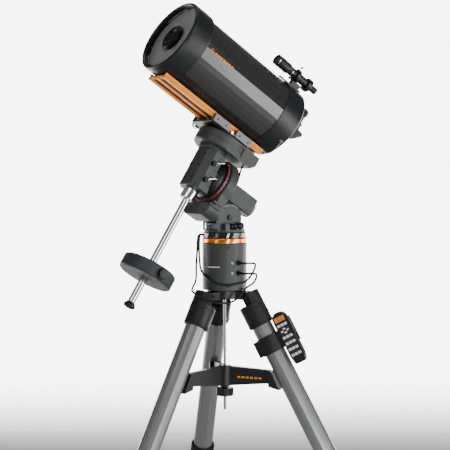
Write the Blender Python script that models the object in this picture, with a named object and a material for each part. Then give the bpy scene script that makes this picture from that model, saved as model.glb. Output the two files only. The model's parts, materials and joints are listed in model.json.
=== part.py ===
"""A 235 mm Schmidt-Cassegrain telescope on a computerised German equatorial mount, pier and tripod.

Modelling frame: metres, +Z up, the origin on the ground under the pier's axis. The polar axis lies
in the Y-Z plane and points towards -Y and up, so the telescope looks to -Y when it is at home. At
the end everything moves sideways, until the origin is under the middle of the model's box.
"""

from math import atan2, cos, pi, radians, sin, sqrt, tan

import bmesh
import bpy
from mathutils import Matrix, Vector

# ---- clearances and smoothness ------------------------------------------------------------------
GAP = 0.0003            # between two pieces that touch
FINE = 32               # segments round the large turned pieces
MEDIUM = 18             # segments round the middle sizes
TUBE_SEGMENTS = 40      # segments round the optical tube
COARSE = 10             # segments round screws, knobs and rods
SMOOTH_ANGLE = radians(32.0)

# ---- tripod ---------------------------------------------------------------------------------------
RING_Z = 0.950          # underside of the trim ring on the pier
PIER_FOOT_Z = RING_Z - 0.159
TRIPOD_YAW = radians(8.0)
LEG_AZIMUTHS = [radians(a) + TRIPOD_YAW for a in (270.0, 30.0, 150.0)]
LEG_SPLAY = radians(28.0)
LEG_PIVOT_R = 0.0785
LEG_PIVOT_Z = RING_Z - 0.178
LEG_TUBE_R = 0.0350
LEG_TUBE_WALL = 0.0030
LEG_CAP_R = 0.0435
LEG_CAP_TOP, LEG_CAP_END = 0.034, 0.115       # distances down the leg from its pivot
LEG_TUBE_END = 0.705
LOCK_R = 0.0420
LOCK_LENGTH = 0.052
INNER_R = 0.0280
INNER_WALL = 0.0025
INNER_OVERLAP = 0.430   # how much of the inner leg hides in the outer one at rest
FOOT_R = 0.0330
FOOT_H = 0.0400
FOOT_BELOW = 0.0080      # how far the foot would reach past the ground if it were not cut flat
TONGUE_HALF = 0.0192
TONGUE_R = 0.0140
EAR_HALF_IN, EAR_HALF_OUT = 0.0198, 0.0300
EAR_R = 0.0135
EAR_ROOT_R = 0.0440
HUB_R = 0.0580
ROD_R = 0.0052
ROD_END_Z = RING_Z - 0.575
SPREADER_TOP_Z, SPREADER_END_Z = RING_Z - 0.421, RING_Z - 0.492
SPREADER_HUB_R = 0.0230
SPREADER_REACH = 0.1780
KNOB_TOP_Z = RING_Z - 0.4925
KNOB_R = 0.0300

# ---- pier -----------------------------------------------------------------------------------------
PIER_R = 0.0755
PIER_WALL = 0.0040
TRIM_H = 0.0180
CAP_H = 0.0190
PIER_TOP_Z = RING_Z + TRIM_H + CAP_H
PORT_AZIMUTH = radians(4.0)
PORT_HEIGHTS = (RING_Z - 0.0655, RING_Z - 0.0998)
PORT_R = 0.0085
GLANDS = ((-122, 0.0280), (-113, 0.0280))       # azimuth and height of the two lead glands
GLAND_END = 0.0787

# ---- azimuth fork ---------------------------------------------------------------------------------
FORK_Y = -0.010
PIVOT_Z = RING_Z + 0.087
FORK_INNER, FORK_OUTER = 0.0360, 0.0480
FORK_HALF = 0.0470
FORK_BASE_R = 0.0700
AXLE_R = 0.0065
AXLE_HEAD_R = 0.0105
ALT_SCREW = (-0.012, -0.0670, 1.0065)
AZ_KNOB = (0.0602, 0.0, 1.0087)
FORK_BASE_TOP = PIER_TOP_Z + 0.0100

# ---- head: local x to the east, y to the rear along the polar axis, z towards the tube ------------
LATITUDE = radians(33.0)
PIVOT_Y, PIVOT_DROP = 0.155, 0.081    # the altitude pivot, behind and below the two axes' crossing
TONGUE_HEAD_HALF = 0.0345
TONGUE_HEAD_R = 0.0340
TUBE_Z = 0.315          # the optical axis above the polar axis

# ---- counterweight --------------------------------------------------------------------------------
SHAFT_R = 0.0127
SHAFT_TOP, SHAFT_END = -0.1078, -0.5020
COLLAR_R = 0.0265
WEIGHT_R = 0.0940
WEIGHT_TOP, WEIGHT_END = -0.3635, -0.4105

# ---- declination and saddle -----------------------------------------------------------------------
BLOCK_FRONT, BLOCK_REAR = -0.0350, 0.0295
BLOCK_HALF, BLOCK_FACE_HALF = 0.0550, 0.0330
BLOCK_TOP, BLOCK_END = 0.0780, -0.0660
DEC_R = 0.0755
DEC_NECK_R = 0.0500
DEC_LOW, DEC_TOP = 0.0925, 0.1430
DEC_BOX_REAR = 0.1350
SADDLE_TOP = 0.1655
SADDLE_HALF = 0.0660
SADDLE_KNOB_R, SADDLE_KNOB_Z = 0.0148, 0.1592

# ---- optical tube: y runs to the rear ---------------------------------------------------------------
TUBE_R = 0.1275
TUBE_WALL = 0.0022
TUBE_FRONT, TUBE_REAR = -0.2720, 0.0980
CELL_R = 0.1345
CELL_FRONT = -0.3500
CORRECTOR_Y = -0.3290
CORRECTOR_R = 0.1202
SECONDARY_R = 0.0430
REAR_R = 0.1300
REAR_END = 0.1800
BAR_FRONT, BAR_REAR = -0.3150, 0.1480
BAR_HALF = 0.0510
BAR_Z = 0.1660
BAR_TOP = 0.1865
FINDER_X, FINDER_Z = 0.056, TUBE_Z + 0.161
EYE_Y = 0.2460

# Hand control, in the frame of its leg.
HANDSET_TOP, HANDSET_END = -0.1015, -0.2855
HANDSET_FACE, HANDSET_BACK = -0.0180, 0.0080
KEYPAD_HALF = 0.0205
KEYPAD_TOP, KEYPAD_END = -0.1380, -0.2610
KEY_HALF, KEY_PITCH = 0.0052, 0.0215

# Leads. A route's points are an azimuth, a radius and a height above the ring; DEC_LEAD_ROUTE is in the
# head frame.
LEAD_R = 0.0026
LEAD_SPANS = 38
DEC_LEAD_R = 0.0022
DEC_LEAD_SPANS = 16
OUTER_ROUTE = ((-122, 0.0791, 0.028), (-122, 0.0850, 0.0275), (-122, 0.0905, 0.018), (-122, 0.0925, -0.010),
               (-120, 0.0965, -0.072), (-117, 0.0985, -0.125),
               (-108, 0.1120, -0.150), (-92, 0.1285, -0.160), (-75, 0.1310, -0.172), (-60, 0.1200, -0.187),
               (-44, 0.1050, -0.197), (-22, 0.0930, -0.195), (-4, 0.0890, -0.183), (10, 0.0890, -0.163),
               (22, 0.0930, -0.1480), (32, 0.1040, -0.1370), (37, 0.1130, -0.1200), (32, 0.1170, -0.1050),
               (18, 0.1140, -0.0999), (6, 0.1050, -0.0998), (4, 0.0962, -0.0998))
INNER_ROUTE = ((-113, 0.0791, 0.028), (-113, 0.0840, 0.0272), (-114, 0.0870, 0.016), (-118, 0.0870, -0.015),
               (-118, 0.0855, -0.062), (-104, 0.0820, -0.097),
               (-72, 0.0795, -0.122), (-46, 0.0793, -0.136), (-26, 0.0793, -0.139), (-2, 0.0800, -0.135),
               (20, 0.0835, -0.1310), (36, 0.0890, -0.1190), (45, 0.0980, -0.1020), (44, 0.1060, -0.0830),
               (34, 0.1110, -0.0700), (19, 0.1090, -0.0658), (6, 0.1030, -0.0655), (4, 0.0962, -0.0655))
DEC_LEAD_ROUTE = ((0.0480, 0.1045, 0.0921), (0.0500, 0.1045, 0.0800), (0.0590, 0.1045, 0.0560),
                  (0.0680, 0.1045, 0.0300), (0.0690, 0.1045, 0.0080), (0.0665, 0.1045, -0.0030),
                  (0.0655, 0.1025, -0.0095), (0.0655, 0.1002, -0.0098))


# ---- modelling helpers ------------------------------------------------------------------------------
ALONG = {
    "z": Matrix.Identity(4),
    "x": Matrix(((0, 0, 1, 0), (1, 0, 0, 0), (0, 1, 0, 0), (0, 0, 0, 1))),
    "y": Matrix(((0, 1, 0, 0), (0, 0, 1, 0), (1, 0, 0, 0), (0, 0, 0, 1))),
}

SIDE_VIEW = Matrix(((0, 0, 1, 0), (1, 0, 0, 0), (0, 1, 0, 0), (0, 0, 0, 1)))    # (y, z) outlines
FRONT_VIEW = Matrix(((1, 0, 0, 0), (0, 0, 1, 0), (0, 1, 0, 0), (0, 0, 0, 1)))   # (x, z) outlines


def placed(axis="z", at=(0.0, 0.0, 0.0)):
    """A matrix that lays a shape's own z along an axis, at a point."""
    return Matrix.Translation(at) @ ALONG[axis]


def turned(bm, profile, segments, matrix, closed=True):
    """Turn an (r, z) outline about z. An open outline starts and ends on the axis."""
    rings = []
    for r, z in profile:
        if r < 1e-9:
            rings.append([bm.verts.new(matrix @ Vector((0, 0, z)))])
            continue
        angles = [2 * pi * k / segments for k in range(segments)]
        rings.append([bm.verts.new(matrix @ Vector((r * cos(a), r * sin(a), z))) for a in angles])
    pairs = list(zip(rings, rings[1:]))
    if closed:
        pairs.append((rings[-1], rings[0]))
    for a, b in pairs:
        for k in range(segments):
            n = (k + 1) % segments
            if len(a) == 1:
                bm.faces.new((a[0], b[k], b[n]))
            elif len(b) == 1:
                bm.faces.new((a[n], a[k], b[0]))
            else:
                bm.faces.new((a[k], b[k], b[n], a[n]))


def disc(bm, r, z0, z1, segments, matrix, edge=0.0):
    """A solid cylinder with an optional chamfer at both ends."""
    if edge:
        profile = [(0, z0), (r - edge, z0), (r, z0 + edge), (r, z1 - edge), (r - edge, z1), (0, z1)]
    else:
        profile = [(0, z0), (r, z0), (r, z1), (0, z1)]
    turned(bm, profile, segments, matrix, closed=False)


def ring(bm, r_in, r_out, z0, z1, segments, matrix, edge=0.0):
    """A turned ring with an optional chamfer on its outer edges."""
    outer = [(r_out, z0), (r_out, z1)]
    if edge:
        outer = [(r_out - edge, z0), (r_out, z0 + edge), (r_out, z1 - edge), (r_out - edge, z1)]
    turned(bm, [(r_in, z0)] + outer + [(r_in, z1)], segments, matrix)


def prism(bm, outline, z0, z1, matrix):
    """Extrude an (x, y) outline from z0 to z1."""
    low = [bm.verts.new(matrix @ Vector((x, y, z0))) for x, y in outline]
    high = [bm.verts.new(matrix @ Vector((x, y, z1))) for x, y in outline]
    bm.faces.new(low[::-1])
    bm.faces.new(high)
    for k in range(len(outline)):
        n = (k + 1) % len(outline)
        bm.faces.new((low[k], low[n], high[n], high[k]))


def block(bm, low, high, matrix=None, edge=0.0):
    """A box between two corners, with an optional chamfer on every edge."""
    matrix = matrix or Matrix.Identity(4)
    before = set(bm.edges)
    outline = [(low[0], low[1]), (high[0], low[1]), (high[0], high[1]), (low[0], high[1])]
    prism(bm, outline, low[2], high[2], matrix)
    if edge:
        edges = [e for e in bm.edges if e not in before]
        bmesh.ops.bevel(bm, geom=edges, offset=edge, segments=1, affect="EDGES", profile=0.5)


def arc(cx, cy, r, start, end, steps):
    """Points of an arc in degrees, both ends included."""
    angles = [radians(start + (end - start) * k / steps) for k in range(steps + 1)]
    return [(cx + r * cos(a), cy + r * sin(a)) for a in angles]


def smooth_curve(points, count):
    """Points evenly spaced in parameter on a Catmull-Rom curve through the given points."""
    pts = [Vector(p) for p in points]
    pts = [2 * pts[0] - pts[1]] + pts + [2 * pts[-1] - pts[-2]]
    spans = len(pts) - 3
    out = []
    for k in range(count + 1):
        s = min(k * spans / count, spans - 1e-9)
        i = int(s)
        t = s - i
        a, b, c, d = pts[i:i + 4]
        out.append(0.5 * (2 * b + (c - a) * t + (2 * a - 5 * b + 4 * c - d) * t ** 2
                          + (3 * b - a - 3 * c + d) * t ** 3))
    return out


def frame_empty(name, matrix):
    """An empty that carries the pieces modelled in its frame."""
    empty = bpy.data.objects.new(name, None)
    bpy.context.collection.objects.link(empty)
    empty.location = matrix.to_translation()
    empty.rotation_euler = matrix.to_euler()
    return empty


def material(name, colour, metallic, roughness):
    """A plain Principled material, made once for each name."""
    mat = bpy.data.materials.get(name)
    if mat is None:
        mat = bpy.data.materials.new(name)
        mat.use_nodes = True
        shader = mat.node_tree.nodes["Principled BSDF"]
        shader.inputs["Base Color"].default_value = (*colour, 1.0)
        shader.inputs["Metallic"].default_value = metallic
        shader.inputs["Roughness"].default_value = roughness
    return mat


def paint(name):
    """The finish of a piece."""
    finishes = {
        "cast": ((0.085, 0.09, 0.09), 0.1, 0.45),
        "black": ((0.012, 0.012, 0.013), 0.0, 0.42),
        "gloss_black": ((0.01, 0.01, 0.01), 0.2, 0.12),
        "rubber": ((0.015, 0.015, 0.016), 0.0, 0.7),
        "tube": ((0.075, 0.078, 0.078), 0.5, 0.35),
        "orange": ((0.85, 0.27, 0.03), 0.8, 0.25),
        "red": ((0.30, 0.03, 0.02), 0.4, 0.4),
        "chrome": ((0.75, 0.75, 0.75), 1.0, 0.12),
        "steel": ((0.30, 0.30, 0.31), 0.9, 0.3),
        "leg": ((0.16, 0.16, 0.165), 0.85, 0.3),
        "silver": ((0.55, 0.55, 0.55), 0.8, 0.35),
        "glass": ((0.25, 0.26, 0.28), 0.0, 0.05),
        "mirror": ((0.85, 0.86, 0.88), 1.0, 0.03),
        "keys": ((0.75, 0.75, 0.73), 0.0, 0.4),
    }
    return material(name, *finishes[name])


def piece(name, bm, finish, parent=None, origin=(0.0, 0.0, 0.0)):
    """Turn a bmesh, modelled in its parent's frame, into an object with its origin at a joint."""
    bmesh.ops.remove_doubles(bm, verts=bm.verts, dist=1e-7)
    bmesh.ops.recalc_face_normals(bm, faces=bm.faces)
    bmesh.ops.translate(bm, verts=bm.verts, vec=-Vector(origin))
    mesh = bpy.data.meshes.new(name)
    bm.to_mesh(mesh)
    bm.free()
    mesh.shade_smooth()
    mesh.set_sharp_from_angle(angle=SMOOTH_ANGLE)
    mesh.materials.append(paint(finish))
    obj = bpy.data.objects.new(name, mesh)
    bpy.context.collection.objects.link(obj)
    obj.location = origin
    obj.parent = parent
    return obj


def loose_bodies(bm):
    """The vertex indices of each connected body in a mesh."""
    bm.verts.ensure_lookup_table()
    bodies, seen = [], set()
    for vert in bm.verts:
        if vert.index in seen:
            continue
        body, stack = set(), [vert]
        seen.add(vert.index)
        while stack:
            here = stack.pop()
            body.add(here.index)
            for edge in here.link_edges:
                other = edge.other_vert(here)
                if other.index not in seen:
                    seen.add(other.index)
                    stack.append(other)
        bodies.append(body)
    return bodies


def join_solids(obj):
    """Union the overlapping solids of one mesh into a single closed body."""
    whole = bmesh.new()
    whole.from_mesh(obj.data)
    meshes = []
    for body in loose_bodies(whole):
        copy = whole.copy()
        others = [v for v in copy.verts if v.index not in body]
        bmesh.ops.delete(copy, geom=others, context="VERTS")
        mesh = bpy.data.meshes.new(obj.name + "_body")
        copy.to_mesh(mesh)
        copy.free()
        meshes.append(mesh)
    whole.free()
    obj.data = meshes[0]
    helpers = []
    for mesh in meshes[1:]:
        helper = bpy.data.objects.new(mesh.name, mesh)
        bpy.context.collection.objects.link(helper)
        helper.parent = obj.parent
        helper.location = obj.location
        helpers.append(helper)
        modifier = obj.modifiers.new("join", "BOOLEAN")
        modifier.operation = "UNION"
        modifier.solver = "EXACT"
        modifier.object = helper
    depsgraph = bpy.context.evaluated_depsgraph_get()
    joined = bpy.data.meshes.new_from_object(obj.evaluated_get(depsgraph))
    joined.name = obj.name
    obj.modifiers.clear()
    obj.data = joined
    joined.shade_smooth()
    joined.set_sharp_from_angle(angle=SMOOTH_ANGLE)
    for helper in helpers:
        bpy.data.objects.remove(helper)
    return obj


def cut(target, cutter_bm, name):
    """Cut a hidden wire cutter, modelled in the target's frame, out of the target."""
    cutter = piece(name, cutter_bm, "black", target.parent)
    cutter.hide_render = True
    cutter.display_type = "WIRE"
    modifier = target.modifiers.new(name, "BOOLEAN")
    modifier.operation = "DIFFERENCE"
    modifier.solver = "EXACT"
    modifier.object = cutter


def wire(name, points, radius, finish, parent=None, resolution=2):
    """A round rod or lead along given points, with closed ends."""
    curve = bpy.data.curves.new(name, "CURVE")
    curve.dimensions = "3D"
    curve.bevel_depth = radius
    curve.bevel_resolution = resolution
    curve.use_fill_caps = True
    spline = curve.splines.new("POLY")
    spline.points.add(len(points) - 1)
    for target, point in zip(spline.points, points):
        target.co = (*point, 1.0)
    curve.materials.append(paint(finish))
    obj = bpy.data.objects.new(name, curve)
    bpy.context.collection.objects.link(obj)
    obj.parent = parent
    return obj


def ribbed(r, depth, ribs):
    """The outline of a grip with square ribs."""
    points = []
    for k in range(ribs):
        for part, radius in ((0.0, r), (0.5, r), (0.5, r - depth), (1.0, r - depth)):
            a = 2 * pi * (k + part) / ribs
            points.append((radius * cos(a), radius * sin(a)))
    return points


# ---- tripod -----------------------------------------------------------------------------------------
def tripod_head():
    """The casting under the pier: a hub and three pairs of ears."""
    bm = bmesh.new()
    hub_low = RING_Z - 0.190
    ring(bm, ROD_R + GAP, HUB_R, hub_low, PIER_FOOT_Z - GAP, MEDIUM, placed(), 0.002)
    for azimuth in LEG_AZIMUTHS:
        turn = Matrix.Rotation(azimuth, 4, "Z") @ Matrix.Translation((LEG_PIVOT_R, 0, LEG_PIVOT_Z))
        root = EAR_ROOT_R - LEG_PIVOT_R
        for side in (-1, 1):
            near, far = sorted((side * EAR_HALF_IN, side * EAR_HALF_OUT))
            outline = [(root, -EAR_R)] + arc(0, 0, EAR_R, -90, 90, 6) + [(root, EAR_R)]
            prism(bm, outline, near, far, turn @ FRONT_VIEW)
    join_solids(piece("tripod_head", bm, "black"))


def centre_rod():
    bm = bmesh.new()
    disc(bm, ROD_R, ROD_END_Z, PIER_FOOT_Z - 0.001, COARSE, placed(), 0.001)
    piece("centre_rod", bm, "steel")


def running_bore(radius, segments):
    """A bore that turns freely round a pin of a radius, both of them with that many flats."""
    return radius / cos(pi / segments) + GAP


def leg_matrix(azimuth):
    """The frame of a leg: its origin on the pivot, -z down the leg, +x facing out and up."""
    return (Matrix.Rotation(azimuth, 4, "Z") @ Matrix.Translation((LEG_PIVOT_R, 0, LEG_PIVOT_Z))
            @ Matrix.Rotation(-LEG_SPLAY, 4, "Y"))


def leg(index, azimuth):
    """One leg: the cap on its pivot, the tube, the lock collar and the inner leg with its foot."""
    frame_matrix = leg_matrix(azimuth)
    frame = frame_empty(f"leg_frame_{index}", frame_matrix)

    bm = bmesh.new()
    disc(bm, LEG_CAP_R, -LEG_CAP_END, -LEG_CAP_TOP, MEDIUM, placed(), 0.003)
    hood = [(0.016, -0.0405)] + arc(0, 0, LEG_CAP_R, -68, 68, 8) + [(0.016, 0.0405)]
    prism(bm, hood, -LEG_CAP_TOP - 0.004, 0.004, placed())
    tongue = [(TONGUE_R, -LEG_CAP_TOP - 0.004)] + arc(0, 0, TONGUE_R, 0, 180, 8)
    tongue += [(-TONGUE_R, -LEG_CAP_TOP - 0.004)]
    prism(bm, tongue, -TONGUE_HALF, TONGUE_HALF, FRONT_VIEW)
    cap = join_solids(piece(f"leg_cap_{index}", bm, "black", frame))
    socket = bmesh.new()
    disc(socket, LEG_TUBE_R + GAP, -LEG_CAP_END - 0.01, -LEG_CAP_TOP - 0.008, MEDIUM, placed())
    cut(cap, socket, f"leg_socket_{index}")

    bm = bmesh.new()
    ring(bm, LEG_TUBE_R - LEG_TUBE_WALL, LEG_TUBE_R, -LEG_TUBE_END, -LEG_CAP_TOP - 0.009,
         MEDIUM, placed())
    piece(f"leg_tube_{index}", bm, "leg", frame)

    bm = bmesh.new()
    top = -LEG_TUBE_END + 0.030
    end = top - LOCK_LENGTH
    wide, narrow = running_bore(LEG_TUBE_R, MEDIUM), running_bore(INNER_R, MEDIUM)
    profile = [(wide, top), (LOCK_R, top - 0.003), (LOCK_R, end + 0.012), (LOCK_R - 0.008, end),
               (narrow, end), (narrow, -LEG_TUBE_END - GAP), (wide, -LEG_TUBE_END - GAP)]
    turned(bm, profile, MEDIUM, placed())
    piece(f"leg_lock_{index}", bm, "black", frame)

    bm = bmesh.new()
    foot_low = -LEG_PIVOT_Z / cos(LEG_SPLAY) - FOOT_BELOW
    foot_top = foot_low + FOOT_H
    inner_top = INNER_OVERLAP - LEG_TUBE_END
    bore, plug = INNER_R - INNER_WALL, foot_top + 0.012
    profile = [(0, foot_low), (FOOT_R - 0.004, foot_low), (FOOT_R, foot_low + 0.004),
               (FOOT_R, foot_top - 0.004), (INNER_R + 0.002, foot_top), (INNER_R, foot_top),
               (INNER_R, inner_top), (bore, inner_top), (bore, plug), (0, plug)]
    turned(bm, profile, MEDIUM, placed(), closed=False)
    inner = piece(f"leg_inner_{index}", bm, "steel", frame)
    ground = bmesh.new()
    block(ground, (-1.0, -1.0, -0.2), (1.0, 1.0, 0.0), frame_matrix.inverted())
    cut(inner, ground, f"ground_cut_{index}")
    return frame


def spreader():
    """A hub with three tapered arms whose saddles press the legs outwards."""
    bm = bmesh.new()
    disc(bm, SPREADER_HUB_R, SPREADER_END_Z, SPREADER_TOP_Z, MEDIUM, placed(), 0.002)
    for azimuth in LEG_AZIMUTHS:
        arm = Matrix.Rotation(azimuth, 4, "Z") @ FRONT_VIEW
        tip_x = SPREADER_REACH - 0.014
        outline = [(0.008, SPREADER_END_Z + 0.001), (tip_x, SPREADER_END_Z + 0.016),
                   (tip_x, SPREADER_TOP_Z - 0.010), (0.008, SPREADER_TOP_Z - 0.001)]
        prism(bm, outline, -0.0080, 0.0080, arm)
        lean = tan(LEG_SPLAY)
        low, high = SPREADER_END_Z - 0.004, SPREADER_TOP_Z - 0.013
        outer = SPREADER_REACH + 0.010
        mid = (low + high) / 2
        pad = [(tip_x - 0.004, low + 0.010), (outer + (mid - low) * lean - 0.006, low),
               (outer - (high - mid) * lean - 0.002, high), (tip_x - 0.006, high)]
        prism(bm, pad, -0.0200, 0.0200, arm)
    body = join_solids(piece("spreader", bm, "black"))
    cutter = bmesh.new()
    disc(cutter, ROD_R + GAP, SPREADER_END_Z - 0.01, SPREADER_TOP_Z + 0.01, COARSE, placed())
    for azimuth in LEG_AZIMUTHS:
        disc(cutter, LEG_TUBE_R + 2 * GAP, -0.50, -0.20, MEDIUM, leg_matrix(azimuth))
    cut(body, cutter, "spreader_bores")

    bm = bmesh.new()
    neck = KNOB_TOP_Z - 0.007
    ring(bm, ROD_R + GAP, 0.012, neck, KNOB_TOP_Z - GAP, COARSE, placed())
    prism(bm, ribbed(KNOB_R, 0.0025, 9), neck - 0.026, neck + 0.0005, placed())
    knob = join_solids(piece("spreader_knob", bm, "black"))
    cutter = bmesh.new()
    disc(cutter, ROD_R + GAP, neck - 0.04, KNOB_TOP_Z + 0.01, COARSE, placed())
    cut(knob, cutter, "knob_bore")


# ---- pier -------------------------------------------------------------------------------------------
def at_pier(azimuth, radius, z):
    """A matrix on the pier's side: its x points outwards."""
    return (Matrix.Rotation(azimuth, 4, "Z") @ Matrix.Translation((radius, 0, z)))


def pier():
    bm = bmesh.new()
    ring(bm, PIER_R - PIER_WALL, PIER_R, PIER_FOOT_Z, RING_Z - GAP, FINE, placed())
    for z in PORT_HEIGHTS:
        seat = at_pier(PORT_AZIMUTH, 0.0, z) @ ALONG["x"]
        disc(bm, PORT_R, PIER_R - 0.0030, PIER_R + 0.0022, COARSE, seat, 0.0005)
    tube = join_solids(piece("pier_tube", bm, "cast"))
    holes = bmesh.new()
    for z in PORT_HEIGHTS:
        seat = at_pier(PORT_AZIMUTH, 0.0, z) @ ALONG["x"]
        disc(holes, PORT_R - 0.0030, PIER_R - 0.0120, PIER_R + 0.0100, COARSE, seat)
    cut(tube, holes, "port_holes")

    bm = bmesh.new()
    ring(bm, PIER_R - 0.010, PIER_R + 0.0012, RING_Z, RING_Z + TRIM_H - GAP, FINE, placed(), 0.0015)
    piece("trim_ring", bm, "orange")

    bm = bmesh.new()
    disc(bm, PIER_R - 0.0005, RING_Z + TRIM_H, PIER_TOP_Z, FINE, placed(), 0.0015)
    for azimuth, height in GLANDS:
        seat = at_pier(radians(azimuth), 0.0, RING_Z + height) @ ALONG["x"]
        disc(bm, 0.0038, PIER_R - 0.0060, GLAND_END, COARSE, seat)
    join_solids(piece("pier_cap", bm, "gloss_black"))


# ---- azimuth fork -----------------------------------------------------------------------------------
def azimuth_fork():
    bm = bmesh.new()
    disc(bm, FORK_BASE_R, PIER_TOP_Z + GAP, FORK_BASE_TOP, FINE, placed(), 0.001)
    sheet = Matrix.Translation((0, FORK_Y, 0)) @ SIDE_VIEW
    outline = [(-FORK_HALF, FORK_BASE_TOP - 0.004), (FORK_HALF, FORK_BASE_TOP - 0.004)]
    outline += arc(0, PIVOT_Z, FORK_HALF, 0, 180, 16)
    for near, far in ((FORK_INNER, FORK_OUTER), (-FORK_OUTER, -FORK_INNER)):
        prism(bm, outline, near, far, sheet)
    block(bm, (-FORK_INNER - 0.004, -0.0570, FORK_BASE_TOP - 0.004), (FORK_INNER + 0.004, -0.0510, 1.018))
    block(bm, (FORK_OUTER - 0.004, -0.040, FORK_BASE_TOP - 0.004), (0.0670, -0.024, AZ_KNOB[2] + 0.009))
    fork = join_solids(piece("azimuth_fork", bm, "cast"))
    holes = bmesh.new()
    disc(holes, 0.0040, -0.070, -0.045, COARSE, placed("y", (ALT_SCREW[0], 0, ALT_SCREW[2])))
    disc(holes, AXLE_R + GAP, -0.060, 0.060, COARSE, placed("x", (0, FORK_Y, PIVOT_Z)))
    cut(fork, holes, "adjuster_bores")

    pivot = placed("x", (0, FORK_Y, PIVOT_Z))
    bm = bmesh.new()
    ends = FORK_OUTER + GAP
    head_end = ends + 0.004
    profile = [(0, -head_end), (AXLE_HEAD_R, -head_end), (AXLE_HEAD_R, -ends), (AXLE_R, -ends),
               (AXLE_R, ends), (AXLE_HEAD_R, ends), (AXLE_HEAD_R, head_end), (0, head_end)]
    turned(bm, profile, COARSE, pivot, closed=False)
    piece("altitude_axle", bm, "black", None, (0, FORK_Y, PIVOT_Z))

    bm = bmesh.new()
    disc(bm, 0.0036, -0.0030, 0.0285, COARSE, placed("y", ALT_SCREW))
    disc(bm, 0.0026, -0.0090, 0.0140, COARSE, placed("z", ALT_SCREW), 0.0008)
    join_solids(piece("altitude_screw", bm, "chrome", None, ALT_SCREW))

    bm = bmesh.new()
    at = placed("y", AZ_KNOB)
    disc(bm, 0.0042, -0.0237, 0.0145, COARSE, at)
    for start in (-0.0150, -0.0050):
        disc(bm, 0.0098, start, start + 0.0055, COARSE, at, 0.0008)
    prism(bm, ribbed(0.0108, 0.0016, 10), 0.0140, 0.0340, at)
    join_solids(piece("azimuth_knob", bm, "black", None, AZ_KNOB))


# ---- right ascension --------------------------------------------------------------------------------
def head_frame():
    """The frame of everything above the altitude pivot."""
    pivot = Matrix.Translation((0, FORK_Y, PIVOT_Z))
    crossing = Matrix.Translation((0, -PIVOT_Y, PIVOT_DROP))
    return frame_empty("mount_head", pivot @ Matrix.Rotation(-LATITUDE, 4, "X") @ crossing)


def ra_axis(frame):
    bm = bmesh.new()
    block(bm, (-0.046, 0.1000, -0.0340), (0.046, 0.2270, 0.0310), None, 0.004)
    outline = [(PIVOT_Y + TONGUE_HEAD_R, -0.030), (PIVOT_Y - TONGUE_HEAD_R, -0.030)]
    outline += arc(PIVOT_Y, -PIVOT_DROP, TONGUE_HEAD_R, 180, 360, 14)
    prism(bm, outline, -TONGUE_HEAD_HALF, TONGUE_HEAD_HALF, SIDE_VIEW)
    disc(bm, 0.0310, 0.2200, 0.2400, MEDIUM, placed("y"), 0.003)
    housing = join_solids(piece("ra_housing", bm, "cast", frame))
    bore = bmesh.new()
    disc(bore, running_bore(AXLE_R, COARSE), -0.060, 0.060, COARSE, placed("x", (0, PIVOT_Y, -PIVOT_DROP)))
    cut(housing, bore, "axle_bore")

    bm = bmesh.new()
    disc(bm, 0.0880, 0.0640, 0.0997, FINE, placed("y"), 0.003)
    half, low, corner = 0.0750, -0.1320, 0.0300
    outline = [(half, -0.0850), (-half, -0.0850)]
    outline += arc(-half + corner, low + corner, corner, 180, 270, 5)
    outline += arc(half - corner, low + corner, corner, 270, 360, 5)
    prism(bm, outline, 0.0480, 0.0997, FRONT_VIEW)
    block(bm, (-half, 0.0660, -0.0900), (half, 0.0997, -0.0300))
    for z in (-0.0800, -0.0950):
        block(bm, (half - 0.004, 0.0520, z), (half + 0.0050, 0.0900, z + 0.0060))
    join_solids(piece("ra_worm_housing", bm, "cast", frame))

    bm = bmesh.new()
    profile = [(0, 0.0300), (0.0560, 0.0300), (0.0700, 0.0420), (0.0700, 0.0520), (0.0800, 0.0520),
               (0.0810, 0.0530), (0.0810, 0.0605), (0.0700, 0.0615), (0.0600, 0.0636), (0, 0.0636)]
    turned(bm, profile, FINE, placed("y"), closed=False)
    piece("ra_setting_ring", bm, "red", frame)


# ---- declination housing and counterweight ------------------------------------------------------------
def lever(name, frame, y, z):
    """A clutch lever: a hub on the housing's side and a rod that lies level with the ground."""
    origin = (BLOCK_HALF, y, z)
    bm = bmesh.new()
    disc(bm, 0.0095, BLOCK_HALF + GAP, 0.0660, COARSE, placed("x", (0, y, z)), 0.001)
    level = Matrix.Translation((0.0625, y, z)) @ Matrix.Rotation(LATITUDE, 4, "X") @ ALONG["y"]
    disc(bm, 0.0026, 0.0, 0.0400, 12, level)
    tip = level @ Matrix.Translation((0, 0, 0.0400))
    turned(bm, [(r, h) for h, r in arc(0, 0, 0.0042, 180, 0, 6)], 12, tip, closed=False)
    join_solids(piece(name, bm, "chrome", frame, origin))


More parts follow.
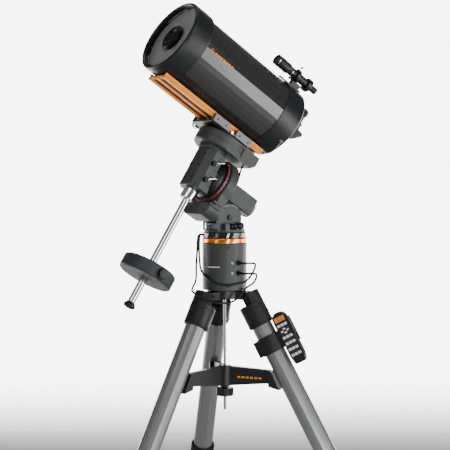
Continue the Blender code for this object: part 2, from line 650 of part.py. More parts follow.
def declination(frame):
    bm = bmesh.new()
    chamfer = BLOCK_HALF - BLOCK_FACE_HALF
    outline = [(-BLOCK_FACE_HALF, BLOCK_FRONT), (BLOCK_FACE_HALF, BLOCK_FRONT),
               (BLOCK_HALF, BLOCK_FRONT + chamfer), (BLOCK_HALF, BLOCK_REAR),
               (-BLOCK_HALF, BLOCK_REAR), (-BLOCK_HALF, BLOCK_FRONT + chamfer)]
    prism(bm, outline, BLOCK_END, BLOCK_TOP, placed())
    housing = piece("dec_housing", bm, "cast", frame)
    pockets = bmesh.new()
    for low, high in ((0.016, 0.054), (-0.046, -0.008)):
        block(pockets, (0.0470, 0.0080, low), (0.0600, 0.0400, high))
    cut(housing, pockets, "lever_pockets")
    lever("clutch_lever_upper", frame, -0.0040, 0.0340)
    lever("clutch_lever_lower", frame, -0.0040, -0.0280)

    bm = bmesh.new()
    ring(bm, SHAFT_R + GAP, COLLAR_R, -0.1070, BLOCK_END - GAP, MEDIUM, placed(), 0.002)
    piece("shaft_collar", bm, "chrome", frame)

    bm = bmesh.new()
    disc(bm, SHAFT_R, SHAFT_END, -0.0680, MEDIUM, placed(), 0.0015)
    piece("counterweight_shaft", bm, "chrome", frame)

    bm = bmesh.new()
    ring(bm, SHAFT_R + GAP, WEIGHT_R, WEIGHT_END, WEIGHT_TOP, FINE, placed(), 0.004)
    piece("counterweight", bm, "cast", frame)

    mid = (WEIGHT_TOP + WEIGHT_END) / 2
    bm = bmesh.new()
    disc(bm, 0.0185, WEIGHT_R + GAP, WEIGHT_R + 0.0150, MEDIUM, placed("x", (0, 0, mid)), 0.002)
    piece("counterweight_knob", bm, "black", frame, (WEIGHT_R, 0, mid))

    bm = bmesh.new()
    profile = [(0, -0.5220), (0.0120, -0.5220), (0.0200, -0.5180), (0.0200, -0.5090),
               (0.0150, -0.5060), (0.0150, -0.5023), (0, -0.5023)]
    turned(bm, profile, MEDIUM, placed(), closed=False)
    piece("toe_saver", bm, "black", frame)

    bm = bmesh.new()
    disc(bm, DEC_NECK_R, BLOCK_TOP + GAP, DEC_LOW + 0.004, FINE, placed())
    disc(bm, DEC_R, DEC_LOW, DEC_TOP, FINE, placed(), 0.004)
    side = [(0.0, DEC_LOW + 0.0002), (DEC_BOX_REAR - 0.016, DEC_LOW + 0.0002),
            (DEC_BOX_REAR, DEC_LOW + 0.018), (DEC_BOX_REAR, DEC_TOP - 0.0002), (0.0, DEC_TOP - 0.0002)]
    prism(bm, side, -DEC_R + 0.0002, DEC_R - 0.0002, SIDE_VIEW)
    motor = join_solids(piece("dec_motor_box", bm, "cast", frame))
    recess = bmesh.new()
    block(recess, (0.0700, 0.0480, 0.1060), (0.0800, 0.0660, 0.1360))
    cut(motor, recess, "dec_recess")


# ---- saddle -------------------------------------------------------------------------------------------
def saddle(frame):
    bm = bmesh.new()
    disc(bm, 0.0620, DEC_TOP + GAP, 0.1500, FINE, placed(), 0.001)
    block(bm, (-SADDLE_HALF, -0.0880, 0.1490), (0.0560, 0.0840, SADDLE_TOP), None, 0.0015)
    for low, high in ((-0.0880, -0.0180), (0.0140, 0.0840)):
        claw = [(-SADDLE_HALF, 0.1500), (-SADDLE_HALF, 0.1800), (-0.0560, 0.1800), (-0.0502, 0.1775),
                (-0.0516, 0.1705), (-0.0516, 0.1640), (-0.0480, 0.1500)]
        prism(bm, claw, low, high, FRONT_VIEW)
    join_solids(piece("saddle", bm, "black", frame))

    bm = bmesh.new()
    for low, high in ((-0.0900, -0.0230), (0.0130, 0.0830)):
        claw = [(0.0563, 0.1520), (0.0680, 0.1520), (0.0680, 0.1790), (0.0560, 0.1800),
                (0.0504, 0.1775), (0.0516, 0.1705), (0.0516, 0.1668), (0.0563, 0.1668)]
        prism(bm, claw, low, high, FRONT_VIEW)
    block(bm, (0.0575, -0.0240, 0.1530), (0.0640, 0.0140, 0.1600))
    join_solids(piece("saddle_jaws", bm, "silver", frame))

    for name, y in (("saddle_knob_front", -0.0530), ("saddle_knob_rear", 0.0490)):
        at = placed("x", (-SADDLE_HALF - GAP, y, SADDLE_KNOB_Z))
        bm = bmesh.new()
        disc(bm, 0.0060, -0.0110, 0.0, COARSE, at)
        prism(bm, ribbed(SADDLE_KNOB_R, 0.0018, 8), -0.0340, -0.0102, at)
        join_solids(piece(name, bm, "chrome", frame, at.to_translation()))


# ---- optical tube -------------------------------------------------------------------------------------
def optics(frame):
    axis = placed("y", (0, 0, TUBE_Z))

    bm = bmesh.new()
    half = [(BAR_HALF - 0.001, BAR_TOP), (BAR_HALF - 0.001, 0.1810), (0.0465, 0.1780),
            (BAR_HALF, 0.1705), (BAR_HALF, BAR_Z + 0.0005), (0.0400, BAR_Z + 0.0005), (0.0360, 0.1720),
            (0.0070, 0.1720), (0.0050, BAR_Z + 0.0025)]
    top = [(0.0420, 0.1780), (0.0430, BAR_TOP)]
    outline = half + [(-x, z) for x, z in half[::-1]]
    outline += [(-x, z) for x, z in top[::-1]] + top
    prism(bm, outline, BAR_FRONT, BAR_REAR, FRONT_VIEW)
    piece("dovetail_bar", bm, "orange", frame)

    bm = bmesh.new()
    ring(bm, TUBE_R - TUBE_WALL, TUBE_R, TUBE_FRONT, TUBE_REAR, TUBE_SEGMENTS, axis)
    piece("optical_tube", bm, "tube", frame)

    bm = bmesh.new()
    seat = CORRECTOR_Y + 0.0050
    profile = [(CORRECTOR_R - 0.006, TUBE_FRONT - GAP), (CELL_R - 0.002, TUBE_FRONT - GAP),
               (CELL_R, TUBE_FRONT - 0.004), (CELL_R, CELL_FRONT + 0.010),
               (CELL_R - 0.0015, CELL_FRONT + 0.003), (CELL_R - 0.005, CELL_FRONT),
               (CORRECTOR_R + 0.004, CELL_FRONT), (CORRECTOR_R + 0.001, CELL_FRONT + 0.003),
               (CORRECTOR_R + GAP, CELL_FRONT + 0.006), (CORRECTOR_R + GAP, seat + GAP),
               (CORRECTOR_R - 0.006, seat + GAP)]
    turned(bm, profile, TUBE_SEGMENTS, axis)
    piece("front_cell", bm, "black", frame)

    bm = bmesh.new()
    ring(bm, 0.0345, CORRECTOR_R, CORRECTOR_Y, seat, TUBE_SEGMENTS, axis)
    piece("corrector_plate", bm, "glass", frame)

    bm = bmesh.new()
    front = CORRECTOR_Y - 0.0130
    profile = [(0, front + 0.003), (0.0270, front + 0.003), (0.0290, front), (SECONDARY_R - 0.002, front),
               (SECONDARY_R, front + 0.002), (SECONDARY_R, CORRECTOR_Y - GAP),
               (0.0340, CORRECTOR_Y - GAP), (0.0340, CORRECTOR_Y + 0.0340), (0, CORRECTOR_Y + 0.0340)]
    turned(bm, profile, FINE, axis, closed=False)
    piece("secondary_holder", bm, "black", frame)

    bm = bmesh.new()
    mirror = [(0.0290, 0.0720), (0.0290, 0.0470), (0.0600, 0.0492), (0.0900, 0.0530),
              (0.1180, 0.0580), (0.1180, 0.0720)]
    turned(bm, mirror, TUBE_SEGMENTS, axis)
    piece("primary_mirror", bm, "mirror", frame)

    bm = bmesh.new()
    lip = TUBE_REAR + GAP
    inside = REAR_END - 0.016
    profile = [(REAR_R - 0.006, lip), (REAR_R - 0.0005, lip), (REAR_R, lip + 0.002),
               (REAR_R, REAR_END - 0.005), (REAR_R - 0.003, REAR_END - 0.0012), (REAR_R - 0.008, REAR_END),
               (0.0260, REAR_END), (0.0260, REAR_END + 0.0130), (0.0205, REAR_END + 0.0150),
               (0.0205, REAR_END + 0.0430), (0.0160, REAR_END + 0.0430), (0.0160, inside - 0.004),
               (0.0265, inside - 0.006), (0.0265, -0.1300), (0.0282, -0.1300), (0.0282, inside),
               (REAR_R - 0.006, inside)]
    turned(bm, profile, TUBE_SEGMENTS, axis)
    piece("rear_cell", bm, "cast", frame)

    bm = bmesh.new()
    at = placed("y", (-0.0650, 0, TUBE_Z + 0.030))
    disc(bm, 0.0100, REAR_END + GAP, REAR_END + 0.0120, COARSE, at)
    prism(bm, ribbed(0.0155, 0.0015, 10), REAR_END + 0.0115, REAR_END + 0.0340, at)
    join_solids(piece("focus_knob", bm, "rubber", frame, (-0.0650, REAR_END, TUBE_Z + 0.030)))

    body = [(EYE_Y - 0.0215, TUBE_Z - 0.0205), (EYE_Y - 0.0020, TUBE_Z - 0.0205),
            (EYE_Y + 0.0330, TUBE_Z + 0.0120), (EYE_Y + 0.0330, TUBE_Z + 0.0220),
            (EYE_Y + 0.0215, TUBE_Z + 0.0260), (EYE_Y - 0.0215, TUBE_Z + 0.0260)]
    bm = bmesh.new()
    prism(bm, body, -0.0180, 0.0180, SIDE_VIEW)
    disc(bm, 0.0150, REAR_END + 0.0150, EYE_Y - 0.0200, MEDIUM, axis)
    disc(bm, 0.0180, TUBE_Z + 0.0250, TUBE_Z + 0.0520, MEDIUM, placed("z", (0, EYE_Y, 0)), 0.001)
    diagonal = join_solids(piece("star_diagonal", bm, "black", frame, (0, REAR_END, TUBE_Z)))
    bores = bmesh.new()
    disc(bores, 0.0128, TUBE_Z + 0.0270, TUBE_Z + 0.0600, MEDIUM, placed("z", (0, EYE_Y, 0)))
    cut(diagonal, bores, "diagonal_bore")

    bm = bmesh.new()
    at = placed("z", (0, EYE_Y, TUBE_Z))
    profile = [(0, 0.0300), (0.0125, 0.0300), (0.0125, 0.0523), (0.0165, 0.0523), (0.0165, 0.0800),
               (0.0210, 0.0860), (0.0210, 0.1030), (0.0180, 0.1060), (0.0130, 0.1060), (0.0110, 0.1020),
               (0, 0.1020)]
    turned(bm, profile, MEDIUM, at, closed=False)
    piece("eyepiece", bm, "black", frame)

    handle_points = []
    for k in range(25):
        angle = radians(-74.0 + 34.0 * k / 24)
        reach = REAR_R + 0.0022 + 0.0190 * sin(pi * k / 24) ** 0.6
        handle_points.append((reach * cos(angle), 0.1600, TUBE_Z + reach * sin(angle)))
    wire("carry_handle", handle_points, 0.0017, "black", frame)


def finder(frame):
    at = placed("y", (FINDER_X, 0, FINDER_Z))
    bm = bmesh.new()
    profile = [(0, 0.0250), (0.0160, 0.0250), (0.0165, 0.0200), (0.0190, 0.0200), (0.0190, 0.0780),
               (0.0155, 0.0860), (0.0155, 0.1930), (0.0115, 0.1950), (0.0115, 0.2190), (0.0080, 0.2190),
               (0.0070, 0.2160), (0, 0.2160)]
    turned(bm, profile, MEDIUM, at, closed=False)
    piece("finder_scope", bm, "black", frame, (FINDER_X, 0.1500, FINDER_Z))

    lean = atan2(FINDER_X, FINDER_Z - TUBE_Z)
    out = Matrix.Translation((0, 0, TUBE_Z)) @ Matrix.Rotation(lean, 4, "Y")
    reach = sqrt(FINDER_X ** 2 + (FINDER_Z - TUBE_Z) ** 2)
    bm = bmesh.new()
    for start, end in ((0.1140, 0.1270), (0.1690, 0.1860)):
        ring(bm, 0.0175, 0.0235, start, end, MEDIUM, at, 0.001)
    block(bm, (-0.0060, 0.1150, reach - 0.0250), (0.0060, 0.1850, reach - 0.0185), out)
    block(bm, (-0.0090, 0.1180, REAR_R + 0.0020), (0.0090, 0.1560, reach - 0.0200), out)
    block(bm, (-0.0130, 0.0700, REAR_R + GAP), (0.0130, 0.1660, REAR_R + 0.0050), out)
    for turn in (0.0, 120.0, 240.0):
        spin = Matrix.Rotation(radians(turn) + lean, 4, "Y")
        spoke = Matrix.Translation((FINDER_X, 0.1205, FINDER_Z)) @ spin
        disc(bm, 0.0018, 0.0220, 0.0320, 8, spoke)
        disc(bm, 0.0045, 0.0310, 0.0375, 12, spoke, 0.0008)
    join_solids(piece("finder_bracket", bm, "black", frame))


# ---- hand control ---------------------------------------------------------------------------------------
HANDSET_X0, HANDSET_X1 = 0.0455, 0.0955


def facing_side(y):
    """Lay an (x, z) outline of the leg's frame in the plane at y, extruding towards -y."""
    return Matrix(((1, 0, 0, 0), (0, 0, -1, y), (0, 1, 0, 0), (0, 0, 0, 1)))


def hand_control(frame):
    """The holder clamps on the leg; the handset lies along the leg with its keys facing sideways."""
    bm = bmesh.new()
    ring(bm, LEG_TUBE_R + GAP, LEG_TUBE_R + 0.0060, -0.2150, -0.1550, MEDIUM, placed(), 0.001)
    block(bm, (-0.0540, -0.0130, -0.2130), (-0.0385, 0.0130, -0.1570), None, 0.001)
    left, right, back = HANDSET_X0 - GAP, HANDSET_X1 + GAP, HANDSET_BACK + GAP
    low, high = -0.2150, -0.1250
    block(bm, (left - 0.0070, HANDSET_FACE - 0.003, low + 0.0004), (left, back + 0.0036, -0.1554))
    block(bm, (left - 0.0050, back, low), (right + 0.0036, back + 0.0040, high))
    block(bm, (right, HANDSET_FACE - 0.003, low + 0.030), (right + 0.0040, back + 0.0036, high - 0.0004))
    holder = join_solids(piece("handset_holder", bm, "black", frame))
    bore = bmesh.new()
    disc(bore, LEG_TUBE_R + GAP, -0.230, -0.140, MEDIUM, placed())
    cut(holder, bore, "holder_bore")

    mid = (HANDSET_X0 + HANDSET_X1) / 2
    half = (HANDSET_X1 - HANDSET_X0) / 2
    outline = arc(mid, HANDSET_TOP - half * 0.9, half, 0, 180, 10)
    outline += [(HANDSET_X0, HANDSET_END + 0.030), (HANDSET_X0 + 0.005, HANDSET_END + 0.006)]
    outline += [(HANDSET_X0 + 0.010, HANDSET_END), (HANDSET_X1 - 0.010, HANDSET_END)]
    outline += [(HANDSET_X1 - 0.005, HANDSET_END + 0.006), (HANDSET_X1, HANDSET_END + 0.030)]
    bm = bmesh.new()
    prism(bm, outline, 0.0, HANDSET_BACK - HANDSET_FACE, facing_side(HANDSET_BACK))
    handset = piece("handset", bm, "rubber", frame)
    screen = bmesh.new()
    block(screen, (mid - 0.019, HANDSET_FACE - 0.002, -0.1330), (mid + 0.019, HANDSET_FACE + 0.001, -0.1150))
    cut(handset, screen, "screen_recess")

    pocket = bmesh.new()
    block(pocket, (mid - KEYPAD_HALF, HANDSET_FACE - 0.002, KEYPAD_END),
          (mid + KEYPAD_HALF, HANDSET_FACE + 0.0035, KEYPAD_TOP))
    cut(handset, pocket, "keypad_recess")

    bm = bmesh.new()
    sheet_back, proud = HANDSET_FACE + 0.0020, HANDSET_FACE - 0.0018
    edge = KEYPAD_HALF - GAP
    block(bm, (mid - edge, sheet_back - 0.0012, KEYPAD_END + GAP),
          (mid + edge, sheet_back, KEYPAD_TOP - GAP))
    for row in (0, 2, 3, 4, 5):
        for column in (-1, 0, 1):
            z = KEYPAD_TOP - 0.0070 - KEY_PITCH * row
            x = mid + 0.0130 * column
            block(bm, (x - KEY_HALF, proud, z - 0.0044), (x + KEY_HALF, sheet_back - 0.0006, z + 0.0044))
    centre = KEYPAD_TOP - 0.0070 - KEY_PITCH
    for x, z in ((0, 0.0068), (0, -0.0068), (0.0105, 0), (-0.0105, 0)):
        block(bm, (mid + x - 0.0042, proud, centre + z - 0.0028),
              (mid + x + 0.0042, sheet_back - 0.0006, centre + z + 0.0028))
    join_solids(piece("handset_keypad", bm, "keys", frame))


# ---- leads ------------------------------------------------------------------------------------------------


def pier_point(azimuth, radius, height):
    """A point round the pier, its height measured from the trim ring."""
    a = radians(azimuth)
    return Vector((radius * cos(a), radius * sin(a), RING_Z + height))


def leads(head):
    """Two leads that hang round the pier, held at the cap and in the ports, with their plugs."""
    for name, route in (("lead_outer", OUTER_ROUTE), ("lead_inner", INNER_ROUTE)):
        points = smooth_curve([pier_point(*p) for p in route], LEAD_SPANS)
        wire(name, points, LEAD_R, "rubber")
    wire("dec_lead", smooth_curve(DEC_LEAD_ROUTE, DEC_LEAD_SPANS), DEC_LEAD_R, "rubber", head)

    for name, z in zip(("lead_plug_upper", "lead_plug_lower"), PORT_HEIGHTS):
        seat = at_pier(PORT_AZIMUTH, 0.0, z) @ ALONG["x"]
        bm = bmesh.new()
        profile = [(0, PIER_R - 0.0060), (0.0050, PIER_R - 0.0060), (0.0050, 0.0895), (0.0038, 0.0905),
                   (0.0038, 0.0957), (0, 0.0957)]
        turned(bm, profile, COARSE, seat, closed=False)
        piece(name, bm, "rubber")


# ---- the whole instrument ---------------------------------------------------------------------------------
def stand_at_origin():
    """Put the origin on the ground under the middle of the model's box."""
    depsgraph = bpy.context.evaluated_depsgraph_get()
    points = []
    for obj in bpy.data.objects:
        if obj.type == "EMPTY" or obj.hide_render:
            continue
        solid = obj.evaluated_get(depsgraph)
        points += [solid.matrix_world @ v.co for v in solid.to_mesh().vertices]
        solid.to_mesh_clear()
    middle = [(min(p[k] for p in points) + max(p[k] for p in points)) / 2 for k in (0, 1)]
    for obj in bpy.data.objects:
        if obj.parent is None:
            obj.location -= Vector((*middle, 0.0))


def build():
    for obj in list(bpy.data.objects):
        bpy.data.objects.remove(obj)
    tripod_head()
    centre_rod()
    legs = [leg(k + 1, azimuth) for k, azimuth in enumerate(LEG_AZIMUTHS)]
    spreader()
    pier()
    azimuth_fork()
    head = head_frame()
    ra_axis(head)
    declination(head)
    saddle(head)
    optics(head)
    finder(head)
    hand_control(legs[1])
    leads(head)
    stand_at_origin()


build()
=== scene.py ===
"""The looks of a Schmidt-Cassegrain telescope on its equatorial mount, pier and tripod.

Everything is in metres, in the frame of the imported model. Places come from the model's joints and
boxes. The head frame has x to the side with the clutch levers, y to the rear along the polar axis
and z along the declination axis towards the tube.
"""

import json
from math import cos, degrees, pi, radians, sin, tan

import bmesh
import bpy
from mathutils import Matrix, Vector


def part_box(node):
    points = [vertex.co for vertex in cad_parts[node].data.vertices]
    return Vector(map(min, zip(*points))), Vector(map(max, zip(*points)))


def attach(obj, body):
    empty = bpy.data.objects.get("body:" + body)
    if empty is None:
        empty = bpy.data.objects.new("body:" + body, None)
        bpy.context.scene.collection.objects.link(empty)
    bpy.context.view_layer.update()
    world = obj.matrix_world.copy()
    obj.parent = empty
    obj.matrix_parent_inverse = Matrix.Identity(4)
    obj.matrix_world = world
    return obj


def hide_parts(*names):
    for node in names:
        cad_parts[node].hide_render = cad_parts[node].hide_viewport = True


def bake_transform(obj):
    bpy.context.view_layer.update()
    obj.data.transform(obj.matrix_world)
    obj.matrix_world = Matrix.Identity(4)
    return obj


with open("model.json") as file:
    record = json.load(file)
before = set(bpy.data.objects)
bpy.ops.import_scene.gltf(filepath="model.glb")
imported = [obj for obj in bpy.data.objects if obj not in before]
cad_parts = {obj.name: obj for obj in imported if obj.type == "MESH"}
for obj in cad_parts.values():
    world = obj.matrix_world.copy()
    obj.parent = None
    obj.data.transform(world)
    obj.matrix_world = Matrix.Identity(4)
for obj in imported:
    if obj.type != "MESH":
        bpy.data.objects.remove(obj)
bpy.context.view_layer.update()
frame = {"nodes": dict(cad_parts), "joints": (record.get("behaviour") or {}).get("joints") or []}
JOINTS = {joint["name"]: joint for joint in frame["joints"]}
NODES = frame["nodes"]

# ---- places, from the model -----------------------------
RA_POS = Vector(JOINTS["right_ascension"]["pos_m"])
RA_AXIS = Vector(JOINTS["right_ascension"]["axis"])
DEC_AXIS = Vector(JOINTS["declination"]["axis"])
LATITUDE_POS = Vector(JOINTS["latitude"]["pos_m"])
CAP_LOW, CAP_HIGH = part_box("pier_cap")
PIER = (CAP_LOW + CAP_HIGH) / 2
PIER_X, PIER_Y = PIER.x, PIER.y
RING_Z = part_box("trim_ring")[0].z
HEAD = Matrix.Translation(RA_POS) @ Matrix((
    (1.0, RA_AXIS.x, DEC_AXIS.x, 0.0),
    (0.0, RA_AXIS.y, DEC_AXIS.y, 0.0),
    (0.0, RA_AXIS.z, DEC_AXIS.z, 0.0),
    (0.0, 0.0, 0.0, 1.0)))

# ---- sizes that the pieces share ------------------------
TUBE_Z = 0.315  # the optical axis above the polar axis, in the head frame
TUBE_R, TUBE_INSIDE_R = 0.1275, 0.125
CELL_R, CELL_FRONT = 0.1345, -0.35
CORRECTOR_R, CORRECTOR_Y = 0.1202, -0.329
SECONDARY_R = 0.043
REAR_R, REAR_END = 0.13, 0.18
EYE_Y = 0.246  # the eyepiece's axis
FINDER_X, FINDER_Z = 0.056, TUBE_Z + 0.161
BLOCK_FRONT, BLOCK_HALF = -0.035, 0.055  # the declination housing's front face and side face
PIER_R, LEG_CAP_R = 0.0755, 0.0435
PORT_AZIMUTH = 4.0
SMOOTH_ANGLE = radians(35.0)
TINY, WELD = 1e-7, 1e-5  # points closer than these are one


def leg_frame(index):
    """A leg's frame: its origin on the pivot, -z down the leg, +x facing out and up."""
    pivot = Vector(JOINTS[f"leg_{index}_fold"]["pos_m"])
    up = -Vector(JOINTS[f"leg_{index}_extend"]["axis"])
    side = -Vector(JOINTS[f"leg_{index}_fold"]["axis"])
    out = side.cross(up)
    turn = Matrix((out, side, up)).transposed().to_4x4()
    return Matrix.Translation(pivot) @ turn


LEGS = [leg_frame(index) for index in (1, 2, 3)]

# ---- modelling helpers ----------------------------------
ALONG = {
    "z": Matrix.Identity(4),
    "x": Matrix(((0, 0, 1, 0), (1, 0, 0, 0), (0, 1, 0, 0), (0, 0, 0, 1))),
    "y": Matrix(((0, 1, 0, 0), (0, 0, 1, 0), (1, 0, 0, 0), (0, 0, 0, 1))),
}
POLAR = HEAD @ ALONG["y"]  # z runs to the rear along the polar axis
SWAP_YZ = Matrix(((1, 0, 0, 0), (0, 0, 1, 0), (0, 1, 0, 0), (0, 0, 0, 1)))
TO_FRONT = Matrix.Rotation(radians(90), 4, "X")  # from at_tube's frame: z along the optical axis
TO_REAR = Matrix.Rotation(radians(-90), 4, "X")


def placed(axis="z", at=(0.0, 0.0, 0.0)):
    """A matrix that lays a shape's own z along an axis, at a point."""
    return Matrix.Translation(at) @ ALONG[axis]


def facing(point, direction):
    """A matrix at a point whose z looks along a direction."""
    return Matrix.Translation(point) @ Vector(direction).to_track_quat("Z", "Y").to_matrix().to_4x4()


def turned(bm, profile, segments, matrix, closed=False):
    """Turn an (r, z) outline about z. A closed outline makes a ring."""
    rings = []
    for r, z in profile:
        if r < TINY:
            rings.append([bm.verts.new(matrix @ Vector((0, 0, z)))])
            continue
        angles = [2 * pi * k / segments for k in range(segments)]
        rings.append([bm.verts.new(matrix @ Vector((r * cos(a), r * sin(a), z))) for a in angles])
    pairs = list(zip(rings, rings[1:]))
    if closed:
        pairs.append((rings[-1], rings[0]))
    for a, b in pairs:
        for k in range(segments):
            n = (k + 1) % segments
            if len(a) == 1:
                bm.faces.new((a[0], b[k], b[n]))
            elif len(b) == 1:
                bm.faces.new((a[n], a[k], b[0]))
            else:
                bm.faces.new((a[k], b[k], b[n], a[n]))


def disc(bm, r, z0, z1, segments, matrix, edge=0.0):
    """A solid cylinder with chamfered ends."""
    profile = [(0, z0), (r - edge, z0), (r, z0 + edge), (r, z1 - edge), (r - edge, z1), (0, z1)]
    turned(bm, profile, segments, matrix)


def prism(bm, outline, z0, z1, matrix):
    """Extrude an (x, y) outline from z0 to z1."""
    low = [bm.verts.new(matrix @ Vector((x, y, z0))) for x, y in outline]
    high = [bm.verts.new(matrix @ Vector((x, y, z1))) for x, y in outline]
    bm.faces.new(low[::-1])
    bm.faces.new(high)
    for k in range(len(outline)):
        n = (k + 1) % len(outline)
        bm.faces.new((low[k], low[n], high[n], high[k]))


def block(bm, low, high, matrix=None):
    """A box between two corners."""
    outline = [(low[0], low[1]), (high[0], low[1]), (high[0], high[1]), (low[0], high[1])]
    prism(bm, outline, low[2], high[2], matrix or Matrix.Identity(4))


def arc(cx, cy, r, start, end, steps):
    """Points of an arc in degrees, both ends included."""
    angles = [radians(start + (end - start) * k / steps) for k in range(steps + 1)]
    return [(cx + r * cos(a), cy + r * sin(a)) for a in angles]


def band(bm, matrix, segments, radii, z, steps):
    """A raised band about z. It leaves the foot radius at z and returns at the last step."""
    foot, top = radii
    up, down, end = steps
    turned(bm, [(foot, z), (top, z + up), (top, z + down), (foot, z + end)], segments, matrix, closed=True)


def ribs(bm, matrix, count, r, z, half, rise):
    """Blocks in a ring about z, at a radius and a level."""
    for k in range(count):
        turn = matrix @ Matrix.Rotation(2 * pi * k / count, 4, "Z")
        at = turn @ Matrix.Translation((r, 0, z)) @ ALONG["x"]
        block(bm, (-half[0], -half[1], rise[0]), (half[0], half[1], rise[1]), at)


def patch(bm, matrix, angles, steps, levels, radius, height):
    """A thin raised patch on a cylinder about z, between two angles in degrees and two levels."""
    start, end = angles
    inner, outer = [], []
    for k in range(steps + 1):
        a = radians(start + (end - start) * k / steps)
        for ring, r in ((inner, radius), (outer, radius + height)):
            ring.extend(bm.verts.new(matrix @ Vector((r * cos(a), r * sin(a), z))) for z in levels)
    for i in range(0, 2 * steps, 2):
        bm.faces.new((outer[i], outer[i + 1], outer[i + 3], outer[i + 2]))
        bm.faces.new((inner[i + 2], inner[i + 3], inner[i + 1], inner[i]))
        bm.faces.new((inner[i], outer[i], outer[i + 2], inner[i + 2]))
        bm.faces.new((inner[i + 3], outer[i + 3], outer[i + 1], inner[i + 1]))
    bm.faces.new((inner[1], outer[1], outer[0], inner[0]))
    bm.faces.new((inner[-2], outer[-2], outer[-1], inner[-1]))


def piece(name, bm, finish, body, bevel=0.0):
    """Turn a bmesh in the model's frame into a piece with its finish, which rides on a body when one is
    given.
    """
    bmesh.ops.remove_doubles(bm, verts=bm.verts, dist=TINY)
    bmesh.ops.recalc_face_normals(bm, faces=bm.faces)
    mesh = bpy.data.meshes.new(name)
    bm.to_mesh(mesh)
    bm.free()
    mesh.shade_smooth()
    mesh.set_sharp_from_angle(angle=SMOOTH_ANGLE)
    mesh.materials.append(finish)
    obj = bpy.data.objects.new(name, mesh)
    bpy.context.collection.objects.link(obj)
    if bevel:
        soften(obj, bevel)
    if body:
        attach(obj, body)
    return obj


def cap_screws(name, finish, body, spots, r, height, recess=0.55):
    """A piece of equal cap screws."""
    bm = bmesh.new()
    for at in spots:
        socket_screw(bm, at, r, height, recess)
    piece(name, bm, finish, body)


def soften(obj, width, segments=2):
    """Round an object's sharp edges a little, so that they catch the light."""
    weld = obj.modifiers.new("weld", "WELD")
    weld.merge_threshold = WELD
    bevel = obj.modifiers.new("bevel", "BEVEL")
    bevel.width = width
    bevel.segments = segments
    bevel.limit_method = "ANGLE"
    bevel.angle_limit = SMOOTH_ANGLE
    bevel.use_clamp_overlap = True
    bevel.harden_normals = False
    normals = obj.modifiers.new("normals", "WEIGHTED_NORMAL")
    normals.keep_sharp = False


def socket_screw(bm, matrix, r, height, recess=0.55):
    """A cap screw whose z points out of the surface, with a hexagon socket."""
    depth = height * recess
    edge = min(r, height) * 0.18
    hex_r = r * 0.52
    profile = [(r, 0.0), (r, height - edge), (r - edge, height), (hex_r + edge, height),
               (hex_r, height - edge * 0.5)]
    turned(bm, profile, 24, matrix)
    turned(bm, [(hex_r, height - edge * 0.5), (hex_r, height - depth), (0.0, height - depth)], 6, matrix)


def thumb_screw(bm, matrix, shank_r, knob_r, top):
    """A thin shank with a round knob, whose z points out of the surface."""
    disc(bm, shank_r, -0.001, 0.006, 16, matrix, 0.0002)
    disc(bm, knob_r, 0.005, top, 24, matrix, 0.0006)


def curve_points(points, count):
    """Points evenly spaced in parameter on a Catmull-Rom curve through the given points."""
    pts = [Vector(p) for p in points]
    pts = [2 * pts[0] - pts[1]] + pts + [2 * pts[-1] - pts[-2]]
    spans = len(pts) - 3
    out = []
    for k in range(count + 1):
        s = min(k * spans / count, spans - 1e-9)
        i = int(s)
        t = s - i
        a, b, c, d = pts[i:i + 4]
        out.append(0.5 * (2 * b + (c - a) * t + (2 * a - 5 * b + 4 * c - d) * t ** 2
                          + (3 * b - a - 3 * c + d) * t ** 3))
    return out


def swept(bm, points, radius, segments=14):
    """A round lead or rod along given points, with closed ends."""
    ahead = [(b - a).normalized() for a, b in zip(points, points[1:])]
    ahead.append(ahead[-1])
    side = ahead[0].orthogonal().normalized()
    rings = []
    for point, before, after in zip(points, [ahead[0]] + ahead, ahead):
        along = (before + after).normalized()
        side = (side - side.dot(along) * along).normalized()
        other = along.cross(side)
        angles = [2 * pi * k / segments for k in range(segments)]
        rings.append([bm.verts.new(point + radius * (cos(a) * side + sin(a) * other)) for a in angles])
    for a, b in zip(rings, rings[1:]):
        for k in range(segments):
            n = (k + 1) % segments
            bm.faces.new((a[k], a[n], b[n], b[k]))
    bm.faces.new(rings[0][::-1])
    bm.faces.new(rings[-1])


# ---- materials ------------------------------------------
CLOUD_SCALE, RELIEF_DEPTH, COAT_ROUGHNESS = 28.0, 0.0004, 0.08
SHADER = "Principled BSDF"


def feed(tree, target, inputs):
    """Set a node's inputs, or link them where the value is another node's output."""
    for key, value in inputs.items():
        if isinstance(value, bpy.types.NodeSocket):
            tree.links.new(value, target.inputs[key])
        else:
            target.inputs[key].default_value = value


def node(tree, kind, inputs, **settings):
    """A new shader node with its settings and inputs."""
    made = tree.nodes.new(f"ShaderNode{kind}")
    for name, value in settings.items():
        setattr(made, name, value)
    feed(tree, made, inputs)
    return made


